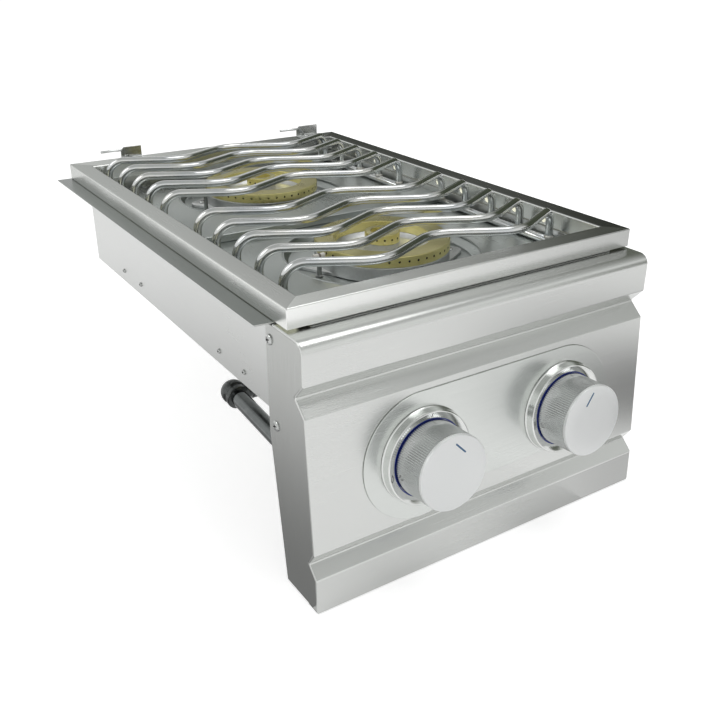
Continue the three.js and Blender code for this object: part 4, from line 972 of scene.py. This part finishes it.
def lay_card(name, half_x, half_y, place, paint):
    """A flat card that isn't part of the unit."""
    maker = bmesh.new()
    maker.faces.new([maker.verts.new((x * half_x, y * half_y, 0)) for x, y in ((-1, -1), (1, -1), (1, 1), (-1, 1))])
    mesh = bpy.data.meshes.new(name)
    maker.to_mesh(mesh)
    maker.free()
    mesh.materials.append(paint)
    card = bpy.data.objects.new(name, mesh)
    card.location = place
    scene.collection.objects.link(card)
    return card


floor_paint = new_finish("floor paint")
floor_tree = floor_paint.node_tree
dress(floor_paint, {"Base Color": (0.8, 0.8, 0.8, 1), "Roughness": 0.9, "Specular IOR Level": 0})
floor_rays = add_node(floor_tree, "LightPath").outputs
floor_seen = arithmetic(floor_tree, "MAXIMUM", floor_rays["Is Camera Ray"], floor_rays["Is Glossy Ray"])
glow_seen, glow_for_camera = 0.32, 0.25
floor_strength = arithmetic(floor_tree, "MULTIPLY_ADD", floor_rays["Is Camera Ray"], glow_for_camera,
                            arithmetic(floor_tree, "MULTIPLY", floor_seen, glow_seen))
floor_glow = add_node(floor_tree, "Emission", {"Strength": floor_strength}).outputs[0]
floor_sum = add_node(floor_tree, "AddShader", {0: floor_tree.nodes["Principled BSDF"].outputs[0], 1: floor_glow})
feed(floor_tree, floor_tree.nodes["Material Output"], {"Surface": floor_sum.outputs[0]})
lay_card("floor", floor_half, floor_half, (0, 0, floor_height), floor_paint)

world = bpy.data.worlds.new("white surround")
scene.world = world
world.use_nodes = True
sky_tree = world.node_tree
rays = add_node(sky_tree, "LightPath").outputs
seen = arithmetic(sky_tree, "MAXIMUM", rays["Is Camera Ray"], rays["Is Glossy Ray"])
seen = arithmetic(sky_tree, "MAXIMUM", seen, rays["Is Transmission Ray"])
looking = add_node(sky_tree, "TexCoord").outputs["Generated"]
looking_up = parts(sky_tree, looking)["Z"]


def patch(turn, rise, outer, inner):
    """A soft-edged round patch of the surround, by its turn from the back toward the right, and its rise."""
    turn, rise, outer, inner = (math.radians(angle) for angle in (turn, rise, outer, inner))
    aim = (math.sin(turn) * math.cos(rise), math.cos(turn) * math.cos(rise), math.sin(rise))
    near = add_node(sky_tree, "VectorMath", {0: looking, 1: aim}, operation="DOT_PRODUCT").outputs["Value"]
    return run_over(sky_tree, near, math.cos(outer), math.cos(inner), 0, 1, "SMOOTHSTEP")


low_down = run_over(sky_tree, looking_up, 0.26, 0.40, 1, 0, "SMOOTHSTEP")
skirting = arithmetic(sky_tree, "MULTIPLY", low_down, patch(80, 0, 62, 48))
dark_share = arithmetic(sky_tree, "MAXIMUM", patch(80, 5, 45, 32), skirting)
ceiling_share = run_over(sky_tree, looking_up, 0.45, 0.72, 0, 1, "SMOOTHSTEP")
wall_tone, ceiling_tone, dark_tone = (0.92, 0.93, 0.92, 1), (0.52, 0.53, 0.52, 1), (0.07, 0.08, 0.055, 1)
strength_on_unit, strength_seen = 0.6, 1
sky = wall_tone
for share, tone in ((ceiling_share, ceiling_tone), (dark_share, dark_tone), (rays["Is Camera Ray"], white)):
    sky = mixed(sky_tree, share, sky, tone, "RGBA")
feed(sky_tree, sky_tree.nodes["Background"],
     {"Color": mixed(sky_tree, rays["Is Glossy Ray"], white, sky, "RGBA"),
      "Strength": run_over(sky_tree, seen, 0, 1, strength_on_unit, strength_seen)})

for name, place, size, power in (("lamp_above", (0.61, -0.43, 2.6), 1.8, 18),
                                 ("lamp_left", (-1.98, 0.53, 1.43), 1.2, 8)):
    lamp_data = bpy.data.lights.new(name, "AREA")
    lamp_data.shape = "DISK"
    lamp_data.size = size
    lamp_data.energy = power
    lamp = bpy.data.objects.new(name, lamp_data)
    lamp.location = place
    lamp.rotation_euler = (-Vector(place)).to_track_quat("-Z", "Y").to_euler()
    scene.collection.objects.link(lamp)

for name, middle, half_size, offset, stretch, dark, start, end in (
        ("shade_left", (-0.3125, 0.225), (0.1375, 0.525), (-0.1225, 0.495, 0), (1, 0.205, 1), 0.3, 0.0, 0.27),
        ("shade_right", (0.42, -0.50), (0.30, 0.22), (0, 0, 0), (0.75, 1, 1), 0.25, 0.05, 0.22)):
    paint = new_finish(name)
    tree = paint.node_tree
    tree.nodes.remove(tree.nodes["Principled BSDF"])
    place = add_node(tree, "TexCoord").outputs["Object"]
    place = add_node(tree, "VectorMath", {0: place, 1: offset}, operation="ADD").outputs[0]
    place = add_node(tree, "VectorMath", {0: place, 1: stretch}, operation="MULTIPLY").outputs[0]
    away = add_node(tree, "VectorMath", {0: place}, operation="LENGTH").outputs["Value"]
    glow = add_node(tree, "Emission", {"Strength": run_over(tree, away, start, end, dark, 1, "SMOOTHSTEP")})
    feed(tree, tree.nodes["Material Output"], {"Surface": glow.outputs[0]})
    card = lay_card(name, *half_size, (*middle, floor_height + 0.002), paint)
    card.visible_camera = card.visible_diffuse = card.visible_shadow = card.visible_transmission = False
